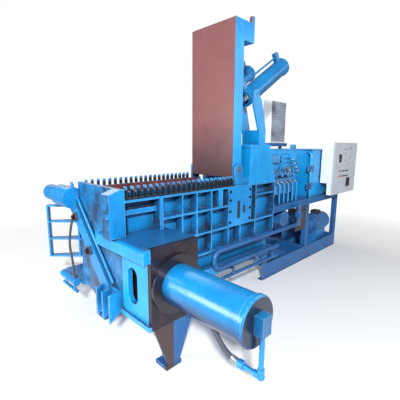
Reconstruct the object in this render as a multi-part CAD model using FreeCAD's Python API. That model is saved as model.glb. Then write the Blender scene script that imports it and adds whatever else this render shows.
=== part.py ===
import FreeCAD, Part
import math
import os

# Scrap baling press with a charging box, a hinged lid, a side ram and a power pack.
# Millimetres. X runs along the press from the bale end to the power pack, Y runs from the
# operator's side to the far side, Z is up. The places below are measured from the floor
# under the outer corner of the box; every piece is then moved so that the origin lies on
# the floor under the middle of the front foot.

V = FreeCAD.Vector

# Driving dimensions: the pressing box
floor_clearance = 385.0
box_length = 2130.0
box_width = 740.0
wall_top = 1285.0
wall_plate_top = 1335.0
wall_plate = 30.0
rib_depth = 100.0
rib_thickness = 14.0
flange_thickness = 18.0
floor_thickness = 35.0
floor_rail_height = 50.0
floor_rail_depth = 60.0
end_wall_thickness = 40.0
end_wall_top = 1372.0
lip_length = 150.0
lip_drop = 60.0
lip_thickness = 20.0
corner_post_depth = 95.0
corner_post_width = 110.0
corner_post_slope = 32.0
back_wall_thickness = 60.0
cover_drop = 30.0
cover_thickness = 30.0
opening_end = 1380.0
belt_bottom = 1160.0
belt_height = 40.0
belt_depth = 60.0
middle_flange_z = 1075.0
short_flange_z = 1145.0
lower_flange_z = 850.0
bottom_flange_z = 640.0
rib_places = [620.0, 800.0, 1000.0]
wide_post_x = 1110.0
wide_post_width = 60.0
flat_panel_start = 1260.0
flat_panel_end = 1660.0
flat_panel_thickness = 16.0
end_post_start = 1735.0
mouth_width = 370.0
mouth_height = 545.0
mouth_post_width = 40.0

# Driving dimensions: the press plates
main_plate_thickness = 70.0
main_plate_setback = 20.0
main_plate_top_gap = 70.0
main_plate_side_gap = 4.0
side_plate_thickness = 100.0
side_plate_gap = 4.0
side_plate_top_gap = 8.0

# Driving dimensions: the combs of upright plates beside the opening
tooth_count = 22
tooth_start = 60.0
tooth_pitch = 60.0
tooth_thickness = 12.0
tooth_height = 105.0
tooth_depth = 42.0
tooth_inset = 3.0
tooth_chamfer = 15.0
tooth_shoulder = 30.0
comb_rail_height = 14.0

# Driving dimensions: the lid
lid_bottom = 1370.0
lid_length = 1592.0
lid_side_gap = 55.0
lid_thickness = 140.0
lid_skin = 30.0
lid_rib = 20.0
lid_rib_inset = 150.0
lid_seat_gap = 13.0
lid_beam_depth = 170.0
lid_beam_height = 190.0
lid_stop_size = 40.0
lid_stop_height = 70.0
lid_long_ribs = [190.0, 950.0, 1180.0]
lid_short_ribs = [430.0, 690.0]
lid_lug_below = 75.0
lid_lug_above = 65.0
lid_lug_thickness = 16.0
hinge_x = 1450.0
hinge_pin_radius = 30.0
hinge_barrel_radius = 48.0
hinge_bearing_radius = 60.0
hinge_bearing_thickness = 26.0
hinge_pin_stick_out = 4.0
pin_clearance = 0.3
side_clearance = 8.0

# Driving dimensions: the lid cylinders, one on each side wall
trunnion_x = 1690.0
trunnion_z = 2250.0
cylinder_tilt = 32.2
cylinder_radius = 95.0
cylinder_collar_radius = 104.0
cylinder_collar_length = 40.0
cylinder_nose = 75.0
cylinder_tail = 780.0
cylinder_end_thickness = 40.0
cylinder_pipe_radius = 11.0
cylinder_pipe_offset = 142.0
cylinder_block_length = 60.0
cylinder_block_width = 50.0
stage_radius = 62.0
stage_length = 660.0
rod_radius = 34.0
rod_length = 760.0
rod_neck = 30.0
sliding_gap = 0.4
lug_x = 1490.0
eye_radius = 37.0
eye_width = 80.0
trunnion_radius = 28.0

# Driving dimensions: the pedestals below the lid cylinders
pedestal_left = 1615.0
pedestal_top_right = 1990.0
pedestal_foot_right = 2130.0
pedestal_top = 1690.0
pedestal_cap = 28.0
pedestal_cap_overhang = 15.0
pedestal_depth = 244.0
pedestal_panel = 12.0
neck_left = 1770.0
neck_right = 1890.0
neck_top = 1880.0
cheek_thickness = 22.0
cheek_head = 50.0

# Driving dimensions: the side ram housing and its cylinder
housing_length = 379.0
housing_width = 450.0
housing_top = 1000.0
housing_plate = 40.0
ledge_depth = 60.0
ledge_height = 100.0
ledge_end = 310.0
slot_width = 130.0
slot_bottom = 510.0
slot_top = 800.0
slot_middle = -140.0
lower_ledge_depth = 22.0
end_plate_thickness = 40.0
ram_axis_x = 228.0
ram_axis_z = 690.0
ram_rod_radius = 95.0
ram_rod_gap = 6.0
ram_barrel_radius = 155.0
ram_barrel_length = 700.0
ram_flange_radius = 228.0
ram_flange_thickness = 26.0
ram_cap_radius = 163.0
ram_cap_length = 41.0
ram_cap_chamfer = 10.0
port_block_size = 84.0
port_block_depth = 62.0
port_block_height = 124.0
port_pipe_radius = 16.0
port_pipe_drop = 335.0
port_elbow_radius = 25.0
port_elbow_wall = 3.0
port_pipe_length = 165.0
union_radius = 29.0
union_length = 40.0

# Driving dimensions: the hose of the side ram
hose_radius = 19.0

# Driving dimensions: legs
foot_middle_x = 200.0
foot_length = 150.0
foot_width = 140.0
foot_thickness = 30.0
leg_plate = 24.0
leg_top_left = 20.0
leg_top_right = 400.0

# Driving dimensions: the pipes along the front wall
side_pipe_offset = 45.0
upper_pipe_z = 650.0
return_pipe_z = 460.0
upper_pipe_start = 1095.0
upper_pipe_radius = 25.0
lower_pipe_z = 335.0
lower_pipe_start = 1130.0
lower_pipe_radius = 19.0
side_pipe_stick_out = 50.0
riser_offset = 570.0
riser_elbow_radius = 32.0
riser_valve_width = 62.0
riser_valve_height = 74.0
riser_valve_z = 780.0
clamp_shares = [0.162, 0.543, 0.886]
clamp_width = 34.0

# Driving dimensions: the power pack, its places along X measured from the end of the box
pack_overlap = 115.0
pack_reach = 2090.0
pack_front = 50.0
pack_back_overhang = 350.0
tray_offset = 570.0
skid_height = 200.0
skid_plate = 12.0
saddle_length = 90.0
deck_top = 940.0
deck_plate = 10.0
deck_beam_height = 85.0
deck_beam_width = 40.0
post_size = 70.0
middle_post_offset = 990.0
guard_offset = 670.0
guard_length = 290.0
guard_thickness = 6.0
guard_drop = 355.0
tank_offset = 1120.0
tank_length = 900.0
tank_front = 100.0
tank_back_gap = 30.0
tank_height = 710.0
tank_corner = 60.0
tank_cover_overhang = 15.0
tank_cover_thickness = 12.0
filler_radius = 45.0
filler_height = 70.0
filler_inset = [170.0, 400.0]

# Driving dimensions: the oil cooler above the tank
cooler_inset = 20.0
cooler_length = 460.0
cooler_back_gap = 65.0
cooler_thickness = 155.0
cooler_height = 695.0
cooler_tray_overhang = 30.0
cooler_tray_height = 55.0
cooler_foot_height = 40.0
cooler_foot_size = 40.0

# Driving dimensions: the valve stand on the deck
stand_offset = 200.0
stand_length = 600.0
stand_front = 170.0
stand_width = 350.0
stand_leg_height = 120.0
manifold_height = 210.0
valve_count = 4
valve_width = 78.0
valve_height = 96.0
coil_radius = 27.0
coil_length = 120.0

# Driving dimensions: motors and pumps below the deck
front_motor_inset = [1720.0, 200.0]
back_motor_inset = [1520.0, 530.0]
motor_length = 480.0
motor_radius = 145.0
motor_axis_z = 440.0
motor_foot_width = 200.0
motor_foot_inset = 70.0
pump_base_offset = 1350.0
pump_base_length = 600.0
pump_base_front = 160.0
pump_base_back_gap = 440.0
pump_base_thickness = 28.0
bell_radius = 105.0
bell_length = 110.0
pump_radius = 75.0
pump_length = 170.0

# Driving dimensions: the oil filter hung under the front edge of the deck
filter_offset = 430.0
filter_radius = 105.0
filter_length = 230.0
filter_axis_z = 725.0
filter_front = 92.0

# Driving dimensions: the control cabinet
cabinet_inset = 320.0
cabinet_width = 880.0
cabinet_depth = 180.0
cabinet_slim_depth = 70.0
cabinet_bottom = 1140.0
cabinet_height = 625.0
cabinet_apron = 180.0
cabinet_rail = 15.0
cabinet_rail_width = 40.0
cabinet_door_gap = 1.0
cabinet_door_thickness = 22.0
cabinet_door_edge = 3.0
cabinet_handle_depth = 25.0
cabinet_hinge_offset = 10.0
cabinet_hinge_radius = 9.0
cabinet_hinge_pin = 5.0
cabinet_hinge_heights = [1060.0, 1660.0]
cabinet_knuckle = 24.0

# Driving dimensions: the bale door
door_hinge_x = 470.0
door_hinge_offset = 60.0
door_width = 620.0
door_bottom = 400.0
door_height = 620.0
door_rest_angle = 45.0
door_pin_radius = 18.0
door_knuckle_radius = 34.0
door_plate = 18.0
door_edge_depth = 60.0
door_root_depth = 170.0
door_shelves = [0.0, 210.0, 415.0, 602.0]
door_uprights = [0.0, 350.0, 500.0, 562.0]
door_arm_gap = 6.0
door_arm_height = 30.0
outlet_length = 470.0
outlet_plate = 35.0
outlet_drop = 20.0

# Driving dimensions: the door lock above the outlet and the inclined brace
lock_drum_x = -50.0
lock_drum_z = 1225.0
lock_drum_radius = 100.0
lock_drum_length = 300.0
lock_nose_radius = 78.0
lock_nose_length = 560.0
brace_thickness = 40.0
brace_width = 120.0
brace_foot = [210.0, 520.0]
brace_head = [195.0, 1282.0]
brace_bolt_shares = [0.3586, 0.7034]
brace_bolt_radius = 30.0
brace_bolt_height = 16.0
brace_lever_radius = 13.0
brace_lever_offset = 105.0
bracket_depth = 105.0
bracket_plate = 20.0
bracket_bottom = 300.0
bracket_top = 560.0
bracket_places = [40.0, 150.0, 250.0]

# Driving dimensions: the lock cylinder below the outlet and its hose
lock_cylinder_x = -45.0
lock_cylinder_z = 385.0
lock_cylinder_radius = 38.0
lock_cylinder_gap = 60.0
lock_cylinder_length = 330.0
lock_pipe_z = 290.0
lock_pipe_radius = 16.0
lock_hose_radius = 11.0


def box(x0, x1, y0, y1, z0, z1):
    """A block between two corners."""
    return Part.makeBox(x1 - x0, y1 - y0, z1 - z0, V(x0, y0, z0))


def rod(start, end, radius):
    """A round bar from one point to another."""
    axis = end.sub(start)
    return Part.makeCylinder(radius, axis.Length, start, axis)


def tube(start, end, outer, inner):
    """A round tube from one point to another."""
    return rod(start, end, outer).cut(rod(start, end, inner))


def slab_y(points, y0, y1):
    """A plate cut to an outline in X and Z, from y0 to y1."""
    corners = [V(x, y0, z) for x, z in points]
    wire = Part.makePolygon(corners + corners[:1])
    return Part.Face(wire).extrude(V(0, y1 - y0, 0))


def slab_x(points, x0, x1):
    """A plate cut to an outline in Y and Z, from x0 to x1."""
    corners = [V(x0, y, z) for y, z in points]
    wire = Part.makePolygon(corners + corners[:1])
    return Part.Face(wire).extrude(V(x1 - x0, 0, 0))


def slab_z(points, z0, z1):
    """A plate cut to an outline in X and Y, from z0 to z1."""
    corners = [V(x, y, z0) for x, y in points]
    wire = Part.makePolygon(corners + corners[:1])
    return Part.Face(wire).extrude(V(0, 0, z1 - z0))


def fuse(shapes):
    """One solid from pieces that are welded together."""
    return shapes[0].multiFuse(shapes[1:]).removeSplitter()


def far_side(shape):
    """The same piece on the far side of the box."""
    return shape.mirror(V(0, box_width / 2, 0), V(0, 1, 0))


def cord(points, radius):
    """A hose along straight runs joined by round bends."""
    corners = [V(*point) for point in points]
    edges = []
    last = corners[0]
    for before, corner, after in zip(corners, corners[1:], corners[2:]):
        back = before.sub(corner)
        onward = after.sub(corner)
        half_turn = (math.pi - back.getAngle(onward)) / 2
        reach = 0.45 * min(back.Length, onward.Length)
        bend = reach / math.tan(half_turn)
        print("bend radius", round(bend, 1), "mm, hose radius", radius, "mm")
        back.normalize()
        onward.normalize()
        start = corner.add(back * reach)
        end = corner.add(onward * reach)
        inward = back.add(onward)
        inward.normalize()
        middle = corner.add(inward * (math.hypot(bend, reach) - bend))
        edges.append(Part.LineSegment(last, start).toShape())
        edges.append(Part.Arc(start, middle, end).toShape())
        last = end
    edges.append(Part.LineSegment(last, corners[-1]).toShape())
    path = Part.Wire(edges)
    section = Part.Wire(Part.makeCircle(radius, corners[0], corners[1].sub(corners[0])))
    return path.makePipeShell([section], True, False)


def save(name, shape):
    """Write one piece to its own file, measured from the middle of the front foot."""
    moved = shape.copy()
    moved.translate(V(-foot_middle_x, -foot_middle_y, 0))
    moved.exportStep(os.path.join("parts", name + ".step"))


# Places that follow from the driving dimensions
wall_inner = rib_depth + wall_plate
box_bottom = floor_clearance
floor_top = box_bottom + floor_thickness
mouth_start = end_wall_thickness
mouth_end = mouth_start + mouth_width
mouth_top = floor_top + mouth_height
housing_front = -housing_length
foot_middle_y = housing_front + foot_width / 2
hinge_z = end_wall_top + lid_seat_gap + hinge_x - opening_end
lid_front_y = lid_side_gap
lid_back_y = box_width - lid_side_gap
lid_back_x = opening_end + lid_thickness
lid_top = lid_bottom + lid_length
cylinder_y = pedestal_depth / 2
tilt = math.radians(cylinder_tilt)
rest_reach = (trunnion_x - lug_x) / math.cos(tilt)
lug_z = trunnion_z - (trunnion_x - lug_x) * math.tan(tilt)
side_pipe_end = box_length + side_pipe_stick_out
clamp_places = [lower_pipe_start + share * (side_pipe_end - lower_pipe_start) for share in clamp_shares]
riser_x = box_length + riser_offset
pack_start = box_length - pack_overlap
pack_end = box_length + pack_reach
tray_start = box_length + tray_offset
pack_back = box_width + pack_back_overhang
middle_post_x = box_length + middle_post_offset
tank_start = box_length + tank_offset
tank_end = tank_start + tank_length
tank_back = pack_back - tank_back_gap
cooler_start = tank_start + cooler_inset
cooler_end = cooler_start + cooler_length
cooler_back = tank_back - cooler_back_gap
cooler_front = cooler_back - cooler_thickness
stand_start = box_length + stand_offset
stand_end = stand_start + stand_length
stand_back = stand_front + stand_width
pump_base_start = box_length + pump_base_offset
pump_base_end = pump_base_start + pump_base_length
pump_base_back = pack_back - pump_base_back_gap
motor_middles = [[box_length + front_motor_inset[0], pack_front + front_motor_inset[1]],
                 [box_length + back_motor_inset[0], pack_back - back_motor_inset[1]]]
filter_x = box_length + filter_offset
cabinet_start = tank_start + cabinet_inset
door_hinge_y = box_width + outlet_length + door_hinge_offset
lock_drum_end = box_width + lock_drum_length
lock_nose_end = box_width + lock_nose_length
lock_cylinder_start = box_width + lock_cylinder_gap
lock_cylinder_end = lock_cylinder_start + lock_cylinder_length


def front_wall():
    """The egg-crate side wall beside the ram and the hinge, plates on edge on a back plate."""
    flange_bottom = wall_top - flange_thickness
    pieces = [box(mouth_end, box_length, rib_depth, wall_inner, floor_top, wall_top),
              box(mouth_start, mouth_end, rib_depth, wall_inner, mouth_top, wall_top),
              box(mouth_start, hinge_x, rib_depth, wall_inner, wall_top, wall_plate_top),
              box(mouth_start, box_length, 0, rib_depth, flange_bottom, wall_top),
              box(mouth_end, flat_panel_start, 0, rib_depth, middle_flange_z,
                  middle_flange_z + flange_thickness)]
    pieces.append(box(mouth_start, mouth_end, rib_depth - belt_depth, rib_depth,
                      belt_bottom, belt_bottom + belt_height))
    pieces.append(box(mouth_end - mouth_post_width, mouth_end, 0, rib_depth, housing_top, flange_bottom))
    for level in (lower_flange_z, bottom_flange_z):
        pieces.append(box(housing_width, box_length, 0, rib_depth, level, level + flange_thickness))
    for place in rib_places:
        pieces.append(box(place, place + rib_thickness, 0, rib_depth, lower_flange_z, flange_bottom))
    pieces.append(box(wide_post_x, wide_post_x + wide_post_width, 0, rib_depth,
                      middle_flange_z, flange_bottom))
    pieces.append(box(flat_panel_start, flat_panel_end, 0, flat_panel_thickness,
                      lower_flange_z, flange_bottom))
    for place in (flat_panel_start, flat_panel_end - rib_thickness):
        pieces.append(box(place, place + rib_thickness, 0, rib_depth, lower_flange_z, flange_bottom))
    for place in (end_post_start, box_length - rib_thickness):
        pieces.append(box(place, place + rib_thickness, 0, rib_depth, bottom_flange_z, flange_bottom))
    pieces.append(box(end_post_start, box_length, 0, rib_depth, short_flange_z,
                      short_flange_z + flange_thickness))
    for place in rib_places[1:] + [flat_panel_start, (flat_panel_start + flat_panel_end) / 2]:
        pieces.append(box(place, place + rib_thickness, 0, rib_depth, bottom_flange_z, lower_flange_z))
    return fuse(pieces)


def rear_wall():
    """The far egg-crate wall, with the bale outlet at its end."""
    outer = box_width - rib_depth
    inner = box_width - wall_inner
    pieces = [box(mouth_end, box_length, inner, outer, floor_top, wall_top),
              box(mouth_start, mouth_end, inner, outer, mouth_top, wall_top),
              box(mouth_start, hinge_x, inner, outer, wall_top, wall_plate_top)]
    for level in (wall_top - flange_thickness, middle_flange_z):
        pieces.append(box(mouth_start, box_length, outer, box_width, level, level + flange_thickness))
    for level in (lower_flange_z, bottom_flange_z):
        pieces.append(box(mouth_end, box_length, outer, box_width, level, level + flange_thickness))
    for place in [mouth_end] + rib_places + [wide_post_x, flat_panel_start, flat_panel_end,
                                             box_length - rib_thickness]:
        pieces.append(box(place, place + rib_thickness, outer, box_width, bottom_flange_z, wall_top))
    return fuse(pieces)


def box_floor():
    """The floor plate of the box with its lower side rails."""
    plate = box(0, box_length, 0, box_width, box_bottom, floor_top)
    rail = box(housing_width, box_length, 0, floor_rail_depth, floor_top, floor_top + floor_rail_height)
    return fuse([plate, rail, far_side(rail)])


def end_wall():
    """The wall at the bale end with the corner post and the sloping lip."""
    plate = box(0, end_wall_thickness, 0, box_width, floor_top, end_wall_top)
    lip_end = end_wall_thickness + lip_length
    lip_low = end_wall_top - lip_drop
    lip = slab_y([(end_wall_thickness, end_wall_top), (lip_end, lip_low), (lip_end, lip_low - lip_thickness),
                  (end_wall_thickness, end_wall_top - lip_thickness)], wall_inner, box_width - wall_inner)
    post_top = end_wall_top - corner_post_slope
    post = slab_y([(-corner_post_depth, housing_top), (0, housing_top), (0, end_wall_top),
                   (-corner_post_depth, post_top)], 0, corner_post_width)
    belt = box(-corner_post_depth - lip_thickness, 0, 0, corner_post_width + lip_thickness,
               belt_bottom, belt_bottom + belt_height)
    return fuse([plate, lip, post, belt])


def back_wall():
    """The wall at the power pack end with the fixed cover behind the lid."""
    inner_back = box_width - wall_inner
    wall = box(box_length - back_wall_thickness, box_length, wall_inner, inner_back, floor_top, wall_top)
    start = hinge_x + lid_thickness
    top = wall_top - cover_drop
    cover = box(start, box_length - back_wall_thickness, wall_inner, inner_back, top - cover_thickness, top)
    return fuse([wall, cover])


def main_ram():
    """The press plate of the main ram, below the lid hinge."""
    start = opening_end + main_plate_setback
    return box(start, start + main_plate_thickness, wall_inner + main_plate_side_gap,
               box_width - wall_inner - main_plate_side_gap, floor_top, wall_top - main_plate_top_gap)


def side_ram():
    """The press plate of the side ram in its mouth, with the piston rod behind it."""
    front = wall_inner - side_plate_thickness
    plate = box(mouth_start + side_plate_gap, mouth_end - side_plate_gap, front, wall_inner,
                floor_top, mouth_top - side_plate_top_gap)
    piston = rod(V(ram_axis_x, housing_front, ram_axis_z), V(ram_axis_x, front, ram_axis_z), ram_rod_radius)
    return fuse([plate, piston])


def comb():
    """Upright plates on a rail, one row on top of the front wall."""
    front = tooth_inset
    back = tooth_inset + tooth_depth
    top = wall_top + tooth_height
    end = tooth_start + (tooth_count - 1) * tooth_pitch + tooth_thickness
    pieces = [box(tooth_start, end, front, back, wall_top, wall_top + comb_rail_height)]
    profile = [(front, wall_top), (back, wall_top), (back, top), (front + tooth_chamfer, top),
               (front, top - tooth_shoulder)]
    for number in range(tooth_count):
        left = tooth_start + number * tooth_pitch
        pieces.append(slab_x(profile, left, left + tooth_thickness))
    return fuse(pieces)


def lid():
    """The lid standing open: skin, side plates, ribs, lugs and the deep beam at its free end."""
    back = lid_back_x
    inside = opening_end + lid_skin
    pieces = [box(opening_end, inside, lid_front_y, lid_back_y, lid_bottom, lid_top)]
    inner_front = lid_front_y + lid_rib_inset
    inner_back = lid_back_y - lid_rib_inset
    for y in (lid_front_y, inner_front, inner_back - lid_rib, lid_back_y - lid_rib):
        pieces.append(box(inside, back, y, y + lid_rib, lid_bottom, lid_top))
    for height in [0.0] + lid_long_ribs + [lid_length - lid_beam_height, lid_length - lid_rib]:
        z = lid_bottom + height
        pieces.append(box(inside, back, lid_front_y, lid_back_y, z, z + lid_rib))
    for height in lid_short_ribs:
        z = lid_bottom + height
        pieces.append(box(inside, back, inner_front, inner_back, z, z + lid_rib))
    lug_start = cylinder_y + eye_width / 2 + side_clearance
    lug = box(inside, back + lid_lug_thickness, lug_start, lug_start + lid_lug_thickness,
              lug_z - lid_lug_below, lug_z + lid_lug_above)
    stop_front = back + lid_beam_depth - lid_stop_size
    stop = box(stop_front, back + lid_beam_depth, lid_front_y, lid_front_y + lid_stop_size,
               lid_top, lid_top + lid_stop_height)
    pieces += [lug, far_side(lug), stop, far_side(stop)]
    pieces.append(box(back, back + lid_beam_depth, lid_front_y, lid_back_y, lid_top - lid_beam_height, lid_top))
    pieces.append(rod(V(hinge_x, lid_front_y, hinge_z), V(hinge_x, lid_back_y, hinge_z), hinge_barrel_radius))
    bore = rod(V(hinge_x, lid_front_y, hinge_z), V(hinge_x, lid_back_y, hinge_z),
               hinge_pin_radius + pin_clearance)
    return fuse(pieces).cut(bore)


def hinge_bearing():
    """The bearing block of the lid hinge on the front wall."""
    back = lid_front_y - side_clearance
    front = back - hinge_bearing_thickness
    base = box(hinge_x - hinge_bearing_radius, hinge_x + hinge_bearing_radius, front, back, wall_top, hinge_z)
    head = rod(V(hinge_x, front, hinge_z), V(hinge_x, back, hinge_z), hinge_bearing_radius)
    bore = rod(V(hinge_x, front, hinge_z), V(hinge_x, back, hinge_z), hinge_pin_radius + pin_clearance)
    return fuse([base, head]).cut(bore)


def hinge_pin():
    """The through pin of the lid hinge."""
    end = lid_front_y - side_clearance - hinge_bearing_thickness - hinge_pin_stick_out
    return rod(V(hinge_x, end, hinge_z), V(hinge_x, box_width - end, hinge_z), hinge_pin_radius)


def on_cylinder(shape):
    """A piece drawn along X from the trunnions, put in its place on the front lid cylinder."""
    placed = shape.copy()
    placed.rotate(V(0, 0, 0), V(0, 1, 0), -cylinder_tilt)
    placed.translate(V(trunnion_x, cylinder_y, trunnion_z))
    return placed


def lid_barrel():
    """The barrel of a lid cylinder with its collars, trunnions and the pipe to its far port."""
    nose = -cylinder_nose
    barrel = rod(V(nose, 0, 0), V(cylinder_tail, 0, 0), cylinder_radius)
    collar = rod(V(cylinder_tail - cylinder_collar_length, 0, 0), V(cylinder_tail, 0, 0), cylinder_collar_radius)
    side = pedestal_depth / 2 - hinge_pin_stick_out
    half = cylinder_block_width / 2
    sunk = cylinder_radius - half / 2
    pins = [rod(V(0, sign * sunk, 0), V(0, sign * side, 0), trunnion_radius) for sign in (-1, 1)]
    block_top = cylinder_pipe_offset + 2 * cylinder_pipe_radius
    near = box(nose + half, nose + half + cylinder_block_length, -half, half, sunk, block_top)
    far_end = cylinder_tail - cylinder_collar_length
    far = box(far_end - cylinder_block_length, far_end, -half, half, sunk, block_top + half)
    pipe = rod(V(nose + 2 * half, 0, cylinder_pipe_offset), V(far_end - half, 0, cylinder_pipe_offset),
               cylinder_pipe_radius)
    bore = rod(V(nose, 0, 0), V(cylinder_tail - cylinder_end_thickness, 0, 0), stage_radius + sliding_gap)
    return on_cylinder(fuse([barrel, collar, near, far, pipe] + pins).cut(bore))


def lid_stage():
    """The first telescopic stage inside a lid cylinder."""
    return on_cylinder(tube(V(-cylinder_nose, 0, 0), V(stage_length - cylinder_nose, 0, 0), stage_radius,
                            rod_radius + sliding_gap))


def lid_rod():
    """The last stage with the eye that takes the lid's lug."""
    shaft = rod(V(rod_neck - rest_reach, 0, 0), V(rod_length - rest_reach, 0, 0), rod_radius)
    eye = rod(V(-rest_reach, -eye_width / 2, 0), V(-rest_reach, eye_width / 2, 0), eye_radius)
    return on_cylinder(fuse([shaft, eye]))


def pedestal():
    """The tapered support on a side wall, with its cap, neck and fork."""
    depth = pedestal_depth
    block = slab_y([(pedestal_left, wall_top), (pedestal_foot_right, wall_top),
                    (pedestal_top_right, pedestal_top), (pedestal_left, pedestal_top)], 0, depth)
    cap_top = pedestal_top + pedestal_cap
    cap = box(pedestal_left - pedestal_cap_overhang, pedestal_top_right + pedestal_cap_overhang, 0, depth,
              pedestal_top, cap_top)
    neck = box(neck_left, neck_right, 0, depth, cap_top, neck_top)
    outline = [(neck_left, neck_top - cheek_head), (neck_right, neck_top - cheek_head), (neck_right, neck_top),
               (trunnion_x + 2 * cheek_head, trunnion_z - cheek_head), (trunnion_x + cheek_head, trunnion_z),
               (trunnion_x - cheek_head, trunnion_z), (trunnion_x - cheek_head, trunnion_z - 2 * cheek_head)]
    cheeks = []
    for start in (0.0, depth - cheek_thickness):
        end = start + cheek_thickness
        cheeks.append(slab_y(outline, start, end))
        cheeks.append(rod(V(trunnion_x, start, trunnion_z), V(trunnion_x, end, trunnion_z), cheek_head))
    bore = rod(V(trunnion_x, 0, trunnion_z), V(trunnion_x, depth, trunnion_z), trunnion_radius + pin_clearance)
    return fuse([block, cap, neck] + cheeks).cut(bore)


def ram_housing():
    """The welded box that guides the side ram, with its round-nosed ledge and oval slot."""
    front = housing_front + end_plate_thickness
    right = housing_width - housing_plate
    pieces = [box(0, housing_plate, front, 0, box_bottom, housing_top),
              box(right, housing_width, front, 0, box_bottom, housing_top),
              box(right, housing_width, 0, rib_depth, floor_top, housing_top),
              box(0, housing_width, front, 0, housing_top - housing_plate, housing_top),
              box(mouth_start, housing_width, 0, rib_depth, mouth_top, housing_top),
              box(0, housing_width, front, 0, box_bottom, floor_top)]
    ledge_bottom = housing_top - ledge_height
    nose_axis = V(0, housing_front, ledge_bottom)
    ledge = Part.makeCylinder(ledge_height, ledge_end - housing_front, nose_axis, V(0, 1, 0))
    keep = box(-ledge_depth, 0, housing_front, ledge_end, ledge_bottom, housing_top)
    pieces.append(ledge.common(keep))
    pieces.append(box(-lower_ledge_depth, 0, housing_front, 0, box_bottom, floor_top))
    slot_radius = slot_width / 2
    low = V(0, slot_middle, slot_bottom + slot_radius)
    high = V(0, slot_middle, slot_top - slot_radius)
    slot = [rod(end, end.add(V(housing_plate, 0, 0)), slot_radius) for end in (low, high)]
    slot.append(box(0, housing_plate, slot_middle - slot_radius, slot_middle + slot_radius, low.z, high.z))
    return fuse(pieces).cut(fuse(slot))


def ram_end_plate():
    """The thick plate that carries the side ram's cylinder."""
    back = housing_front + end_plate_thickness
    plate = box(0, housing_width, housing_front, back, box_bottom, housing_top)
    bore = rod(V(ram_axis_x, housing_front, ram_axis_z), V(ram_axis_x, back, ram_axis_z),
               ram_rod_radius + ram_rod_gap)
    return plate.cut(bore)


def ram_cylinder():
    """The barrel of the side ram's cylinder with its flange."""
    face = V(ram_axis_x, housing_front, ram_axis_z)
    flange = rod(face, face.sub(V(0, ram_flange_thickness, 0)), ram_flange_radius)
    barrel = rod(face, face.sub(V(0, ram_barrel_length, 0)), ram_barrel_radius)
    return fuse([flange, barrel])


def ram_cap():
    """The end cap of the side ram's cylinder with its port block."""
    face = housing_front - ram_barrel_length
    end = face - ram_cap_length
    cap = rod(V(ram_axis_x, face, ram_axis_z), V(ram_axis_x, end, ram_axis_z), ram_cap_radius)
    cap = cap.makeChamfer(ram_cap_chamfer, [edge for edge in cap.Edges if abs(edge.CenterOfMass.y - end) < 1])
    half = port_block_size / 2
    port = box(ram_axis_x - half, ram_axis_x + half, end - port_block_depth, end,
               ram_axis_z - port_block_height / 2, ram_axis_z + port_block_height / 2)
    return fuse([cap, port])


def ram_port_pipe():
    """The pipe from the cap's port block down to an elbow and back below the cylinder."""
    y = housing_front - ram_barrel_length - ram_cap_length - port_block_depth / 2
    top = ram_axis_z - port_block_height / 2
    low = ram_axis_z - port_pipe_drop
    corner = V(ram_axis_x, y, low)
    end = V(ram_axis_x, y + port_pipe_length, low)
    pieces = [rod(V(ram_axis_x, y, top), corner, port_pipe_radius),
              Part.makeSphere(port_elbow_radius, corner),
              rod(corner, corner.add(V(0, 0, 2 * port_elbow_radius)), port_elbow_radius - port_elbow_wall),
              rod(corner, corner.add(V(0, 2 * port_elbow_radius, 0)), port_elbow_radius - port_elbow_wall),
              rod(corner, end, port_pipe_radius),
              rod(end.sub(V(0, union_length, 0)), end, union_radius)]
    return fuse(pieces)


def ram_port_hose():
    """The hose from the union up behind the cylinder."""
    y = housing_front - ram_barrel_length - ram_cap_length - port_block_depth / 2 + port_pipe_length
    low = ram_axis_z - port_pipe_drop
    route = [(ram_axis_x, y, low), (ram_axis_x, y + 150, low), (ram_axis_x, y + 230, low + 170)]
    return cord(route, hose_radius)


def leg(front):
    """A gusseted leg with a foot plate."""
    left = foot_middle_x - foot_length / 2
    right = foot_middle_x + foot_length / 2
    back = front + foot_width
    plate = slab_y([(leg_top_left, box_bottom), (leg_top_right, box_bottom), (right - leg_plate, foot_thickness),
                    (left + leg_plate, foot_thickness)], front, front + leg_plate)
    middle = foot_middle_x - leg_plate / 2
    rib = box(middle, middle + leg_plate, front, back, foot_thickness, box_bottom)
    foot = box(left, right, front, back, 0, foot_thickness)
    return fuse([plate, rib, foot])


def upper_side_pipe():
    """The pipe along the front wall with its return bend, clamps and the riser to the deck."""
    y = -side_pipe_offset
    bend = (upper_pipe_z - return_pipe_z) / 2
    middle_z = (upper_pipe_z + return_pipe_z) / 2
    start = upper_pipe_start
    ring = Part.makeTorus(bend, upper_pipe_radius, V(start, y, middle_z), V(0, 1, 0))
    left_half = box(start - bend - upper_pipe_radius, start, y - upper_pipe_radius, y + upper_pipe_radius,
                    return_pipe_z - upper_pipe_radius, upper_pipe_z + upper_pipe_radius)
    riser_foot = V(riser_x, y, upper_pipe_z)
    riser_head = V(riser_x, y, deck_top - deck_beam_height / 2)
    half = riser_valve_width / 2
    pieces = [ring.common(left_half),
              rod(V(start, y, upper_pipe_z), riser_foot, upper_pipe_radius),
              rod(riser_foot, riser_head, upper_pipe_radius),
              rod(riser_head, V(riser_x, pack_front, riser_head.z), upper_pipe_radius),
              Part.makeSphere(riser_elbow_radius, riser_foot),
              Part.makeSphere(riser_elbow_radius, riser_head),
              box(riser_x - half, riser_x + half, y - half, y + half, riser_valve_z - riser_valve_height / 2,
                  riser_valve_z + riser_valve_height / 2),
              rod(V(start, y, return_pipe_z), V(side_pipe_end, y, return_pipe_z), upper_pipe_radius)]
    for z in (upper_pipe_z, return_pipe_z):
        for place in clamp_places:
            pieces.append(box(place, place + clamp_width, y, 0, z - clamp_width / 2, z + clamp_width / 2))
    return fuse(pieces)


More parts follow.
